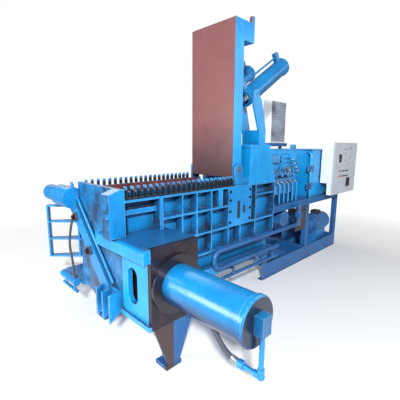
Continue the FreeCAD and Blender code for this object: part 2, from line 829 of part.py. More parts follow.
def lower_side_pipe():
    """The straight pipe below the box floor with its hangers."""
    y = -side_pipe_offset
    z = lower_pipe_z
    pieces = [rod(V(lower_pipe_start, y, z), V(side_pipe_end, y, z), lower_pipe_radius)]
    for place in clamp_places:
        pieces.append(box(place, place + clamp_width, y - clamp_width / 4, y + clamp_width / 4,
                          z, floor_top - clamp_width / 2))
        pieces.append(box(place, place + clamp_width, y, 0, box_bottom, floor_top - clamp_width / 2))
    return fuse(pieces)


def power_pack_skid():
    """The tray that the power pack stands on; its front beam runs on below the box to a saddle post."""
    inner_front = pack_front + skid_plate
    inner_back = pack_back - skid_plate
    pieces = [box(pack_start, pack_end, pack_front, inner_front, 0, skid_height),
              box(tray_start, pack_end, inner_back, pack_back, 0, skid_height),
              box(tray_start, pack_end, inner_front, inner_back, 0, skid_plate)]
    for x in (tray_start, middle_post_x, pack_end - post_size):
        pieces.append(box(x, x + post_size, inner_front, inner_back, 0, skid_height))
    for z in (0, skid_height - skid_plate):
        pieces.append(box(pack_start, tray_start, inner_front, pack_front + post_size, z, z + skid_plate))
    pieces.append(box(pack_start, pack_start + saddle_length, pack_front, pack_front + post_size,
                      skid_height, box_bottom))
    return fuse(pieces)


def power_pack_frame():
    """Posts and deck of the power pack, with the guard plate below the deck's front beam."""
    beam_bottom = deck_top - deck_beam_height
    pieces = [box(box_length, pack_end, pack_front, pack_back, deck_top - deck_plate, deck_top),
              box(box_length, pack_end, pack_front, pack_front + deck_beam_width, beam_bottom, deck_top),
              box(box_length, pack_end, pack_back - deck_beam_width, pack_back, beam_bottom, deck_top)]
    for x in (middle_post_x, pack_end - post_size):
        for y in (pack_front, pack_back - post_size):
            pieces.append(box(x, x + post_size, y, y + post_size, skid_height, deck_top))
    guard_start = box_length + guard_offset
    pieces.append(box(guard_start, guard_start + guard_length, pack_front, pack_front + guard_thickness,
                      beam_bottom - guard_drop, beam_bottom))
    return fuse(pieces)


def oil_tank():
    """The oil tank with rounded upright corners, its flanged lid and the filler."""
    top = deck_top + tank_height
    body = box(tank_start, tank_end, tank_front, tank_back, deck_top, top)
    upright = [edge for edge in body.Edges if abs(edge.tangentAt(edge.FirstParameter).z) > 0.9]
    body = body.makeFillet(tank_corner, upright)
    over = tank_cover_overhang
    cover_top = top + tank_cover_thickness
    cover = box(tank_start - over, tank_end + over, tank_front - over, tank_back + over, top, cover_top)
    x = tank_start + filler_inset[0]
    y = tank_front + filler_inset[1]
    filler = rod(V(x, y, cover_top), V(x, y, cover_top + filler_height), filler_radius)
    return fuse([body, cover, filler])


def oil_cooler():
    """The oil cooler on its tray above the tank."""
    base = deck_top + tank_height + tank_cover_thickness
    tray_bottom = base + cooler_foot_height
    tray_top = tray_bottom + cooler_tray_height
    over = cooler_tray_overhang
    pieces = [box(cooler_start - over, cooler_end + over, cooler_front - over, cooler_back + over,
                  tray_bottom, tray_top),
              box(cooler_start, cooler_end, cooler_front, cooler_back, tray_top, tray_top + cooler_height)]
    middle = (cooler_front + cooler_back - cooler_foot_size) / 2
    for x in (cooler_start, cooler_end - cooler_foot_size):
        pieces.append(box(x, x + cooler_foot_size, middle, middle + cooler_foot_size, base, tray_bottom))
    return fuse(pieces)


def valve_stand():
    """The manifold block on its stand with a row of solenoid valves."""
    shelf = deck_top + stand_leg_height
    top = shelf + manifold_height
    pieces = [box(stand_start, stand_end, stand_front, stand_back, shelf, top)]
    for x in (stand_start, stand_end - post_size):
        for y in (stand_front, stand_back - post_size):
            pieces.append(box(x, x + post_size, y, y + post_size, deck_top, shelf))
    pitch = (stand_end - stand_start) / valve_count
    middle = (stand_front + stand_back) / 2
    for number in range(valve_count):
        x = stand_start + (number + 0.5) * pitch
        pieces.append(box(x - valve_width / 2, x + valve_width / 2, middle - valve_width, middle + valve_width,
                          top, top + valve_height))
        reach = valve_width + coil_length
        z = top + valve_height / 2
        pieces.append(rod(V(x, middle - reach, z), V(x, middle + reach, z), coil_radius))
    return fuse(pieces)


def pump_unit():
    """Two electric motors with their pumps on a base plate in the tray below the deck."""
    base_top = skid_plate + pump_base_thickness
    pieces = [box(pump_base_start, pump_base_end, pump_base_front, pump_base_back, skid_plate, base_top)]
    z = motor_axis_z
    half_foot = motor_foot_width / 2
    for middle, y in motor_middles:
        start = middle - motor_length / 2
        end = middle + motor_length / 2
        bell_end = start - bell_length
        pieces.append(rod(V(start, y, z), V(end, y, z), motor_radius))
        pieces.append(rod(V(bell_end, y, z), V(start, y, z), bell_radius))
        pieces.append(rod(V(bell_end - pump_length, y, z), V(bell_end, y, z), pump_radius))
        pieces.append(box(start + motor_foot_inset, end - motor_foot_inset, y - half_foot, y + half_foot,
                          base_top, z))
    return fuse(pieces)


def oil_filter():
    """The round filter hung under the front edge of the deck."""
    front = V(filter_x, filter_front, filter_axis_z)
    bowl = rod(front, front.add(V(0, filter_length, 0)), filter_radius)
    hanger = box(filter_x - post_size / 2, filter_x + post_size / 2, filter_front + post_size,
                 filter_front + 2 * post_size, filter_axis_z, deck_top - deck_plate)
    return fuse([bowl, hanger])


def cabinet_axis(z):
    """A point on the upright hinge line of the cabinet door."""
    front = tank_front - cabinet_rail - cabinet_depth - cabinet_door_gap - cabinet_door_thickness
    return V(cabinet_start + cabinet_width + cabinet_hinge_offset, front + cabinet_door_edge * 2, z)


def cabinet():
    """The body of the control cabinet with its apron, rails and hinge pins."""
    back = tank_front - cabinet_rail
    front = back - cabinet_depth
    end = cabinet_start + cabinet_width
    top = cabinet_bottom + cabinet_height
    middle = front + cabinet_slim_depth
    pieces = [box(cabinet_start, end, middle, back, cabinet_bottom, top),
              box(cabinet_start, end, front, middle, cabinet_bottom - cabinet_apron, top)]
    rail_top = deck_top + tank_height
    for x in (cabinet_start + cabinet_rail_width, tank_end - tank_corner - cabinet_rail_width):
        pieces.append(box(x, x + cabinet_rail_width, back, tank_front, cabinet_bottom, rail_top))
    for height in cabinet_hinge_heights:
        axis = cabinet_axis(height)
        pin = rod(axis.sub(V(0, 0, 1.5 * cabinet_knuckle)), axis.add(V(0, 0, 1.5 * cabinet_knuckle)),
                  cabinet_hinge_pin)
        pieces.append(pin)
        for z in (height - 1.5 * cabinet_knuckle, height + 0.5 * cabinet_knuckle + cabinet_door_gap):
            foot = V(axis.x, axis.y, z)
            knuckle = cabinet_knuckle - cabinet_door_gap
            pieces.append(rod(foot, foot.add(V(0, 0, knuckle)), cabinet_hinge_radius))
            pieces.append(box(end, axis.x + cabinet_hinge_radius, axis.y, middle, z, z + knuckle))
    return fuse(pieces)


def cabinet_door():
    """The door of the control cabinet with its handle and hinge knuckles."""
    back = tank_front - cabinet_rail - cabinet_depth - cabinet_door_gap
    front = back - cabinet_door_thickness
    end = cabinet_start + cabinet_width - cabinet_door_edge
    bottom = cabinet_bottom - cabinet_apron + cabinet_door_edge
    top = cabinet_bottom + cabinet_height - cabinet_door_edge
    pieces = [box(cabinet_start + cabinet_door_edge, end, front, back, bottom, top)]
    handle_left = cabinet_start + 2 * cabinet_rail_width
    handle_bottom = (bottom + top) / 2 + cabinet_rail_width
    pieces.append(box(handle_left, handle_left + cabinet_handle_depth, front - cabinet_handle_depth, front,
                      handle_bottom, handle_bottom + 3 * cabinet_rail_width))
    half = V(0, 0, cabinet_knuckle / 2 - cabinet_door_gap)
    bores = []
    for height in cabinet_hinge_heights:
        axis = cabinet_axis(height)
        pieces.append(rod(axis.sub(half), axis.add(half), cabinet_hinge_radius))
        pieces.append(box(end, axis.x, axis.y - cabinet_door_edge, axis.y + cabinet_door_edge,
                          height - half.z, height + half.z))
        bores.append(rod(axis.sub(half), axis.add(half), cabinet_hinge_pin + pin_clearance))
    return fuse(pieces).cut(fuse(bores))


def bale_door():
    """The egg-crate leaf of the bale door, deeper at its hinge, standing half open."""
    left = door_hinge_x - door_width
    right = door_hinge_x - door_knuckle_radius - 2 * door_arm_gap
    face = door_hinge_y - door_knuckle_radius
    top = door_bottom + door_height
    outline = [(left, face), (right, face), (right, face + door_root_depth), (left, face + door_edge_depth)]
    pieces = [slab_z(outline, door_bottom + height, door_bottom + height + door_plate)
              for height in door_shelves]
    slope = (door_root_depth - door_edge_depth) / (right - left)
    for offset in door_uprights:
        x = min(left + offset, right - door_plate)
        pieces.append(box(x, x + door_plate, face, face + door_edge_depth + slope * (x - left),
                          door_bottom, top))
    axis = V(door_hinge_x, door_hinge_y, door_bottom)
    half = door_knuckle_radius / 2
    pieces.append(box(right - door_plate, door_hinge_x, door_hinge_y - half, door_hinge_y + half,
                      door_bottom, top))
    pieces.append(rod(axis, axis.add(V(0, 0, door_height)), door_knuckle_radius))
    bore = rod(axis, axis.add(V(0, 0, door_height)), door_pin_radius + pin_clearance)
    leaf = fuse(pieces).cut(bore)
    leaf.rotate(axis, V(0, 0, 1), -door_rest_angle)
    return leaf


def door_frame():
    """The outlet table behind the box with the hinge arms and the pin of the bale door."""
    end = box_width + outlet_length
    table_bottom = box_bottom - outlet_drop
    side_end = door_hinge_x + door_knuckle_radius
    door_top = door_bottom + door_height
    pieces = [box(0, side_end, box_width, end, table_bottom, table_bottom + outlet_plate),
              box(mouth_end, side_end, box_width, end, table_bottom, door_top + door_arm_height)]
    axis = V(door_hinge_x, door_hinge_y, 0)
    for z in (door_bottom - door_arm_gap - door_arm_height, door_top + door_arm_gap):
        pieces.append(box(door_hinge_x - door_knuckle_radius, side_end, end - door_arm_height, door_hinge_y,
                          z, z + door_arm_height))
        pieces.append(rod(axis.add(V(0, 0, z)), axis.add(V(0, 0, z + door_arm_height)), door_knuckle_radius))
    pieces.append(rod(axis.add(V(0, 0, door_bottom - door_arm_gap - door_arm_height)),
                      axis.add(V(0, 0, door_top + door_arm_gap + door_arm_height)), door_pin_radius))
    return fuse(pieces)


def lock_drum():
    """The stepped drum of the door lock, standing out beyond the box's far side."""
    start = V(lock_drum_x, box_width, lock_drum_z)
    drum = rod(start, V(lock_drum_x, lock_drum_end, lock_drum_z), lock_drum_radius)
    nose = rod(start, V(lock_drum_x, lock_nose_end, lock_drum_z), lock_nose_radius)
    return fuse([drum, nose])


def door_brace():
    """The inclined bar on the end wall with its bolts, lever and foot brackets, and the drum."""
    y0, z0 = brace_foot
    y1 = box_width + brace_head[0]
    z1 = brace_head[1]
    run = math.hypot(y1 - y0, z1 - z0)
    side_y = (z1 - z0) / run * brace_width / 2
    side_z = (y1 - y0) / run * brace_width / 2
    bar = slab_x([(y0 + side_y, z0 - side_z), (y1 + side_y, z1 - side_z), (y1 - side_y, z1 + side_z),
                  (y0 - side_y, z0 + side_z)], -brace_thickness, 0)
    pieces = [lock_drum(), bar]
    for share in brace_bolt_shares:
        y = y0 + share * (y1 - y0)
        z = z0 + share * (z1 - z0)
        pieces.append(rod(V(-brace_thickness - brace_bolt_height, y, z), V(0, y, z), brace_bolt_radius))
    ratio = 2 * brace_lever_offset / brace_width
    lever_x = -brace_lever_radius
    pieces.append(rod(V(lever_x, y0 - side_y * ratio, z0 + side_z * ratio),
                      V(lever_x, y1 - side_y * ratio, z1 + side_z * ratio), brace_lever_radius))
    for y in bracket_places:
        pieces.append(slab_y([(-bracket_depth, bracket_bottom), (0, box_bottom), (0, bracket_top),
                              (-bracket_depth, bracket_top - bracket_plate)], y, y + bracket_plate))
    pieces.append(box(-bracket_plate, 0, bracket_places[0], bracket_places[-1], box_bottom, bracket_top))
    return fuse(pieces)


def lock_cylinder():
    """The small cylinder of the door lock beside the outlet table, with its pipe below."""
    x = lock_cylinder_x
    start = lock_cylinder_start
    end = lock_cylinder_end
    pieces = [rod(V(x, start, lock_cylinder_z), V(x, end, lock_cylinder_z), lock_cylinder_radius),
              rod(V(x, start, lock_pipe_z), V(x, end, lock_pipe_z), lock_pipe_radius)]
    for y in (start + lock_cylinder_radius, end - 2 * lock_cylinder_radius):
        pieces.append(box(x, 0, y, y + lock_cylinder_radius, lock_cylinder_z - outlet_plate / 2,
                          floor_top - outlet_drop))
        pieces.append(box(x - lock_pipe_radius / 2, x + lock_pipe_radius / 2, y, y + lock_cylinder_radius,
                          lock_pipe_z, lock_cylinder_z))
    return fuse(pieces)


def lock_hose():
    """The thin hose from the brace down to the lock cylinder."""
    x = lock_cylinder_x
    y = lock_cylinder_start + lock_cylinder_radius
    top = lock_cylinder_z + lock_cylinder_radius
    route = [(x - 6.5, y - 70, 1060), (x - 30, y + 30, 820), (x - 10, y, top + 160), (x, y, top)]
    return cord(route, lock_hose_radius)


os.makedirs("parts", exist_ok=True)
save("front_wall", front_wall())
save("rear_wall", rear_wall())
save("box_floor", box_floor())
save("end_wall", end_wall())
save("back_wall", back_wall())
save("main_ram", main_ram())
save("side_ram", side_ram())
save("front_comb", comb())
save("rear_comb", far_side(comb()))
save("lid", lid())
save("lid_pin", hinge_pin())
save("front_hinge_bearing", hinge_bearing())
save("rear_hinge_bearing", far_side(hinge_bearing()))
save("front_pedestal", pedestal())
save("rear_pedestal", far_side(pedestal()))
save("front_lid_cylinder", lid_barrel())
save("rear_lid_cylinder", far_side(lid_barrel()))
save("front_lid_stage", lid_stage())
save("rear_lid_stage", far_side(lid_stage()))
save("front_lid_rod", lid_rod())
save("rear_lid_rod", far_side(lid_rod()))
save("ram_housing", ram_housing())
save("ram_end_plate", ram_end_plate())
save("ram_cylinder", ram_cylinder())
save("ram_cylinder_cap", ram_cap())
save("ram_port_pipe", ram_port_pipe())
save("ram_port_hose", ram_port_hose())
save("front_leg", leg(housing_front))
save("rear_leg", leg(box_width - foot_width))
save("upper_side_pipe", upper_side_pipe())
save("lower_side_pipe", lower_side_pipe())
save("power_pack_skid", power_pack_skid())
save("power_pack_frame", power_pack_frame())
save("oil_tank", oil_tank())
save("oil_cooler", oil_cooler())
save("valve_stand", valve_stand())
save("pump_unit", pump_unit())
save("oil_filter", oil_filter())
save("control_cabinet", cabinet())
save("cabinet_door", cabinet_door())
save("bale_door", bale_door())
save("bale_door_frame", door_frame())
save("door_brace", door_brace())
save("lock_cylinder", lock_cylinder())
save("lock_hose", lock_hose())
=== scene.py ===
import math

import bpy
import numpy as np
from mathutils import Matrix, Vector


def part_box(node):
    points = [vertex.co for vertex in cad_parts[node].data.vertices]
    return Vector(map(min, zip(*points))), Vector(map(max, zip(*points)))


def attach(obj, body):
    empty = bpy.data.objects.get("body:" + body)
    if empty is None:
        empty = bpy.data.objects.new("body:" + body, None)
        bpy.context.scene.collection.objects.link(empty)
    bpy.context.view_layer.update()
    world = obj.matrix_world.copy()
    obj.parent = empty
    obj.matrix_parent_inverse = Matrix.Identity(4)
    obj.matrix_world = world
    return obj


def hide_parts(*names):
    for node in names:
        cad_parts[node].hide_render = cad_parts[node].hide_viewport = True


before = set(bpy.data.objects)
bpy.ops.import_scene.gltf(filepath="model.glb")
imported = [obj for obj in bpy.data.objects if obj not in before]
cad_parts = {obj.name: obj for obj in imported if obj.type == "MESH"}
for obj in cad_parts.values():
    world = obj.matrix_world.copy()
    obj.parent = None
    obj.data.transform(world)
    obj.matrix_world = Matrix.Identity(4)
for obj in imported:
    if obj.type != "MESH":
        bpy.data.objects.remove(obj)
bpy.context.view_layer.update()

bl_info = {
    "name": "Scrap baling press",
    "version": (1, 0, 0),
    "blender": (4, 5, 0),
    "location": "3D View > Sidebar > Baling press",
    "description": "Dresses the packed baling press with its paint, fittings and studio",
    "category": "Object",
}


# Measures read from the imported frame, in metres

def low(node):
    """Lowest corner of a node."""
    return np.array(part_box(node)[0])


def high(node):
    """Highest corner of a node."""
    return np.array(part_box(node)[1])


# The worn liner's box, and the faces of the side ram's flange, cap and port
OVERLAP = 0.001
LINER_LOW = np.array([low("front_wall")[0], high("front_wall")[1], low("main_ram")[2]]) - OVERLAP
LINER_HIGH = np.array([low("main_ram")[0] + 0.003, low("rear_wall")[1], high("front_wall")[2]]) + OVERLAP
FLANGE_FACE = high("ram_cylinder")[1] - 0.027
CAP_FACE = high("ram_cylinder_cap")[1] - 0.041
PORT_FACE = low("ram_cylinder_cap")[1]

# Middles of the two bolts on the inclined brace's outer face
BRACE_BOLTS = ((-0.256, 0.779, 0.793), (-0.256, 1.029, 1.056))

# Radii of the side ram's hose and of the lock's hose
RAM_HOSE, LOCK_HOSE = 0.019, 0.011

# Camera, solved from the photo's vanishing points: place in metres, angles in degrees
CAMERA_X, CAMERA_Y = -1.370, -1.747
CAMERA_TURN, CAMERA_DIP, CAMERA_ROLL = -44.4, 9.9, 0.3

# Lamps: name, place, aim, width in metres, power in watts
LAMPS = (
    ("key", (-4.4, -5.0, 4.8), (0.6, 0.3, 1.0), 0.7, 1150.0),
    ("fill", (-5.0, 3.0, 1.9), (0.2, -0.4, 0.8), 2.0, 200.0),
    ("side", (6.0, -4.0, 3.4), (2.6, 0.3, 1.0), 3.0, 60.0),
    ("back", (2.0, 6.0, 5.0), (1.5, 0.3, 1.0), 4.0, 160.0),
)

# The floor is solid up to the first distance from its middle, and gone at the second
FLOOR_MIDDLE = (1.4, 0.3, 0.0)
FADE_START, FADE_END = 2.6, 5.6


# Colours and materials

def linear(code):
    """An sRGB hex colour as a linear one with full alpha."""
    values = [int(code[place:place + 2], 16) / 255 for place in (1, 3, 5)]
    return tuple(v / 12.92 if v <= 0.04045 else ((v + 0.055) / 1.055) ** 2.4 for v in values) + (1.0,)


def add(tree, kind, inputs=None, **settings):
    """Adds a node with its settings; an input that is a socket is linked, any other is set."""
    node = tree.nodes.new(kind)
    for name, value in settings.items():
        setattr(node, name, value)
    for name, value in (inputs or {}).items():
        if isinstance(value, bpy.types.NodeSocket):
            tree.links.new(value, node.inputs[name])
        else:
            node.inputs[name].default_value = value
    return node


def new_material(name, **shader):
    """An empty material with its shader's uniform values set, and its coordinates."""
    material = bpy.data.materials.new(name)
    material.use_nodes = True
    tree = material.node_tree
    tree.nodes.clear()
    surface = add(tree, "ShaderNodeBsdfPrincipled")
    for name_of_input, value in shader.items():
        surface.inputs[name_of_input.replace("_", " ")].default_value = value
    output = add(tree, "ShaderNodeOutputMaterial")
    tree.links.new(surface.outputs["BSDF"], output.inputs["Surface"])
    return material, tree, surface, add(tree, "ShaderNodeTexCoord")


def noise(tree, vector, size, detail=4.0, rough=0.6):
    """Noise whose lumps are about size metres across."""
    return add(tree, "ShaderNodeTexNoise",
               {"Vector": vector, "Scale": 1.0 / size, "Detail": detail, "Roughness": rough}).outputs["Fac"]


def spread(tree, value, start, end):
    """A value stretched so that start becomes 0 and end becomes 1."""
    ends = {"Value": value, "From Min": start, "From Max": end}
    return add(tree, "ShaderNodeMapRange", ends).outputs["Result"]


def math_of(tree, operation, first, second):
    """Two values joined by an arithmetic operation."""
    node = add(tree, "ShaderNodeMath", operation=operation)
    for socket, value in zip(node.inputs, (first, second)):
        if isinstance(value, bpy.types.NodeSocket):
            tree.links.new(value, socket)
        else:
            socket.default_value = value
    return node.outputs[0]


def mix(tree, factor, first, second):
    """Two colours mixed by a factor."""
    node = add(tree, "ShaderNodeMix", data_type="RGBA")
    for name, value in (("Factor", factor), ("A", first), ("B", second)):
        socket = [s for s in node.inputs if s.name == name and s.enabled][0]
        if isinstance(value, bpy.types.NodeSocket):
            tree.links.new(value, socket)
        else:
            socket.default_value = value
    return [s for s in node.outputs if s.enabled][0]


def bump(tree, surface, height, depth):
    """Relief of a pattern, depth in metres."""
    node = add(tree, "ShaderNodeBump", {"Height": height, "Distance": depth, "Strength": 1.0})
    tree.links.new(node.outputs["Normal"], surface.inputs["Normal"])


def crevice(tree, reach):
    """How much of the surroundings a point sees, from 0 in a corner to 1 on an open face."""
    return add(tree, "ShaderNodeAmbientOcclusion", {"Distance": reach}, samples=6).outputs["AO"]


def edge_wear_and_highlight(tree, width):
    """One on sharp edges, zero on flats: how far a rounded normal leaves the true one."""
    rounded = add(tree, "ShaderNodeBevel", {"Radius": width}, samples=4)
    true = add(tree, "ShaderNodeNewGeometry")
    dot = add(tree, "ShaderNodeVectorMath", {0: rounded.outputs["Normal"], 1: true.outputs["Normal"]},
              operation="DOT_PRODUCT")
    return spread(tree, dot.outputs["Value"], 0.995, 0.86)


def machine_paint(name, top, shade, chip, chipped, rough=0.34, top_shade=0.55):
    """Air-dried machine enamel: sprayed thick and glossy, dull in the corners, with painted shade in
    recesses, corners and on upward faces, lighter on handled edges (partly rubbed, partly painted highlight),
    chipped in small spots to what lies under it."""
    material, tree, surface, place = new_material(name, Coat_Weight=0.15, Coat_Roughness=0.16)
    point = place.outputs["Object"]
    clouds = spread(tree, noise(tree, point, 0.45, 3.0), 0.35, 0.68)
    colour = mix(tree, clouds, linear(top), linear(shade))
    # painted shade: dark navy mixed into the recesses that a 0.55 m occlusion finds
    deep = spread(tree, crevice(tree, 0.55), 0.70, 0.20)
    colour = mix(tree, math_of(tree, "MULTIPLY", deep, 0.38), colour, linear("#06305f"))
    # painted shade: upward-facing faces darkened towards navy
    upward = add(tree, "ShaderNodeSeparateXYZ", {"Vector": place.outputs["Normal"]}).outputs["Z"]
    dust_and_top_shade = math_of(tree, "MULTIPLY", spread(tree, upward, 0.85, 0.97), top_shade)
    colour = mix(tree, dust_and_top_shade, colour, linear("#1f4a80"))
    streak_map = add(tree, "ShaderNodeMapping", {"Vector": point, "Scale": (1.0, 1.0, 0.12)})
    streaks = spread(tree, noise(tree, streak_map.outputs["Vector"], 0.05, 5.0), 0.52, 0.80)
    colour = mix(tree, math_of(tree, "MULTIPLY", streaks, 0.45), colour, linear("#12406f"))
    # painted shade: near-black mixed into corners and creases; the same mask also roughens them
    corners = spread(tree, crevice(tree, 0.12), 0.66, 0.24)
    colour = mix(tree, math_of(tree, "MULTIPLY", corners, 0.92), colour, linear("#050f24"))
    # edges lightened to pale blue: partly rubbed paint, partly painted highlight
    patchy = spread(tree, noise(tree, point, 0.03), 0.42, 0.58)
    edges = math_of(tree, "MULTIPLY", edge_wear_and_highlight(tree, 0.005), patchy)
    colour = mix(tree, math_of(tree, "MULTIPLY", edges, 0.75), colour, linear("#b4daf2"))
    spots = spread(tree, noise(tree, point, 0.022, 6.0, 0.72), 0.66 - chipped, 0.70 - chipped)
    colour = mix(tree, spots, colour, linear(chip))
    tree.links.new(colour, surface.inputs["Base Color"])
    dull = math_of(tree, "MULTIPLY", math_of(tree, "MAXIMUM", spots, corners), 0.35)
    tree.links.new(math_of(tree, "ADD", rough, dull), surface.inputs["Roughness"])
    bump(tree, surface, math_of(tree, "SUBTRACT", noise(tree, point, 0.016), spots), 0.0006)
    return material, tree, surface, place


def rust(tree, point, base, deep, pale):
    """Scuffed bare plate: brown bloom in broad clouds with long scratches and pale rubbed places."""
    broad = spread(tree, noise(tree, point, 0.30, 5.0, 0.65), 0.34, 0.66)
    colour = mix(tree, broad, linear(base), linear(deep))
    stretched = add(tree, "ShaderNodeMapping", {"Vector": point, "Scale": (1.0, 1.0, 0.06)})
    scratch = spread(tree, noise(tree, stretched.outputs["Vector"], 0.012, 3.0), 0.60, 0.74)
    colour = mix(tree, math_of(tree, "MULTIPLY", scratch, 0.55), colour, linear(pale))
    fine = spread(tree, noise(tree, point, 0.014, 6.0, 0.75), 0.54, 0.66)
    return mix(tree, math_of(tree, "MULTIPLY", fine, 0.5), colour, linear(deep))


def inside(tree, point, lowest, highest, soft):
    """One inside a box, zero outside, with a soft border in metres."""
    parts = add(tree, "ShaderNodeSeparateXYZ", {"Vector": point})
    mask = None
    for axis, start, end in zip("XYZ", lowest, highest):
        rise = spread(tree, parts.outputs[axis], start - soft, start)
        fall = spread(tree, parts.outputs[axis], end + soft, end)
        both = math_of(tree, "MULTIPLY", rise, fall)
        mask = both if mask is None else math_of(tree, "MULTIPLY", mask, both)
    return mask


def lined_paint(name, top, shade):
    """Enamel outside and scuffed rusty plate where the scrap rubs, inside the charging box. The end
    that faces the bale door is black with oil and rust in a broad cloud."""
    material, tree, surface, place = machine_paint(name, top, shade, "#3a2a2c", 0.03)
    point = place.outputs["Object"]
    painted = surface.inputs["Base Color"].links[0].from_socket
    facing = add(tree, "ShaderNodeSeparateXYZ", {"Vector": place.outputs["Normal"]}).outputs["X"]
    end_face = spread(tree, facing, -0.8, -0.95)
    grime = spread(tree, noise(tree, point, 0.22, 9.0, 0.72), 0.36, 0.60)
    brown = spread(tree, noise(tree, point, 0.05, 5.0), 0.45, 0.6)
    oil = mix(tree, brown, linear("#0c1830"), linear("#2a2230"))
    grime = math_of(tree, "MULTIPLY", math_of(tree, "MULTIPLY", grime, end_face), 0.88)
    painted = mix(tree, grime, painted, oil)
    mask = inside(tree, point, LINER_LOW, LINER_HIGH, 0.0005)
    colour = mix(tree, mask, painted, rust(tree, point, "#7a4340", "#42272a", "#97736d"))
    tree.links.new(colour, surface.inputs["Base Color"])
    return material


def leg_primed_end():
    """The primed part of the front leg ends left of its rib, at its front face."""
    middle = (low("front_leg") + high("front_leg")) / 2
    return np.array((middle[0] - 0.012, low("front_leg")[1] + 0.020, high("front_leg")[2] + 0.01))


def guard_low():
    """Lowest corner of the guard plate below the deck."""
    frame_low = low("power_pack_frame")
    return np.array((frame_low[0] + 0.66, frame_low[1] - 0.01, high("power_pack_frame")[2] - 0.45))


def guard_high():
    """Highest corner of the guard plate below the deck."""
    frame_low = low("power_pack_frame")
    return np.array((frame_low[0] + 0.97, frame_low[1] + 0.02, high("power_pack_frame")[2] - 0.086))


def part_primed(name, lowest, highest):
    """Enamel darkened on its tops as painted shade, with a part inside a box left in dark red-brown primer.
    """
    material, tree, surface, place = machine_paint(name, "#155f9e", "#114c84", "#3b3a48", 0.05, 0.5)
    point = place.outputs["Object"]
    painted = surface.inputs["Base Color"].links[0].from_socket
    brown = mix(tree, noise(tree, point, 0.03, 6.0, 0.7), linear("#2a2028"), linear("#4a3634"))
    colour = mix(tree, inside(tree, point, lowest, highest, 0.001), painted, brown)
    tree.links.new(colour, surface.inputs["Base Color"])
    return material


def lid_paint():
    """The lid's enamel, with the pressing face worn through to brown plate."""
    material, tree, surface, place = machine_paint("lid enamel", "#0f9be4", "#0a84cc", "#3a2a2c", 0.02)
    point = place.outputs["Object"]
    painted = surface.inputs["Base Color"].links[0].from_socket
    facing = add(tree, "ShaderNodeSeparateXYZ", {"Vector": place.outputs["Normal"]}).outputs["X"]
    mask = spread(tree, facing, -0.8, -0.95)
    speckle = spread(tree, noise(tree, point, 0.020, 6.0, 0.8), 0.36, 0.64)
    worn = mix(tree, speckle, linear("#74494b"), linear("#8a5858"))
    broad = spread(tree, noise(tree, point, 0.5, 3.0), 0.40, 0.70)
    worn = mix(tree, math_of(tree, "MULTIPLY", broad, 0.35), worn, linear("#6a4347"))
    tall = add(tree, "ShaderNodeSeparateXYZ", {"Vector": point}).outputs["Z"]
    ragged = math_of(tree, "ADD", tall, math_of(tree, "MULTIPLY", noise(tree, point, 0.2, 6.0), 0.35))
    lower = spread(tree, ragged, low("lid")[2] + 0.80, low("lid")[2] + 0.30)
    worn = mix(tree, math_of(tree, "MULTIPLY", lower, 0.8), worn, linear("#33232a"))
    tree.links.new(mix(tree, mask, painted, worn), surface.inputs["Base Color"])
    return material


def ram_paint():
    """The side ram's enamel: its flange left in dark primer, its downward faces darkened as painted shade,
    and its end face dark with oil.
    """
    material, tree, surface, place = machine_paint("ram cylinder enamel", "#0f86c8", "#0b74b0", "#24405c",
                                                   0.0, 0.22, 0.0)
    surface.inputs["Coat Weight"].default_value = 0.4
    surface.inputs["Specular IOR Level"].default_value = 0.35
    surface.inputs["Coat Roughness"].default_value = 0.30
    painted = surface.inputs["Base Color"].links[0].from_socket
    along = add(tree, "ShaderNodeSeparateXYZ", {"Vector": place.outputs["Object"]}).outputs["Y"]
    flange = spread(tree, along, FLANGE_FACE - 0.001, FLANGE_FACE)
    # painted shade: downward-facing faces of the barrel darkened to navy
    downward = add(tree, "ShaderNodeSeparateXYZ", {"Vector": place.outputs["Normal"]}).outputs["Z"]
    oil_and_underside_shade = math_of(tree, "MULTIPLY", spread(tree, downward, 0.30, -0.32), 0.9)
    painted = mix(tree, oil_and_underside_shade, painted, linear("#06224e"))
    colour = mix(tree, flange, painted, linear("#1c1822"))
    end = spread(tree, along, CAP_FACE + 0.003, CAP_FACE + 0.001)
    ring = math_of(tree, "MULTIPLY", end, spread(tree, along, PORT_FACE, CAP_FACE - 0.001))
    facing = add(tree, "ShaderNodeSeparateXYZ", {"Vector": place.outputs["Normal"]}).outputs["Y"]
    dark = math_of(tree, "MULTIPLY", ring, spread(tree, facing, -0.8, -0.95))
    tree.links.new(mix(tree, dark, colour, linear("#071c34")), surface.inputs["Base Color"])
    return material


def primer():
    """Red-brown primer gone nearly black with oil: dull, speckled with dust."""
    material, tree, surface, place = new_material("oily dark primer", Specular_IOR_Level=0.35)
    point = place.outputs["Object"]
    oil_and_underside_shade = spread(tree, noise(tree, point, 0.09), 0.38, 0.64)
    colour = mix(tree, oil_and_underside_shade, linear("#2a1f27"), linear("#171925"))
    dust_and_top_shade = spread(tree, noise(tree, point, 0.008, 5.0, 0.8), 0.60, 0.72)
    colour = mix(tree, math_of(tree, "MULTIPLY", dust_and_top_shade, 0.4), colour, linear("#6a7896"))
    tree.links.new(colour, surface.inputs["Base Color"])
    tree.links.new(spread(tree, noise(tree, point, 0.05), 0.2, 1.4), surface.inputs["Roughness"])
    bump(tree, surface, noise(tree, point, 0.01), 0.0008)
    return material


def bare_steel(name, base, deep, rough):
    """Machined steel: bright, drawn out in fine turning marks, dulled by a film of oil."""
    material, tree, surface, place = new_material(name, Metallic=1.0)
    point = place.outputs["Object"]
    colour = mix(tree, spread(tree, noise(tree, point, 0.05, 5.0), 0.35, 0.7), linear(base), linear(deep))
    tree.links.new(colour, surface.inputs["Base Color"])
    value = math_of(tree, "ADD", rough, math_of(tree, "MULTIPLY", noise(tree, point, 0.02), 0.2))
    tree.links.new(value, surface.inputs["Roughness"])
    bump(tree, surface, noise(tree, point, 0.004), 0.0002)
    return material


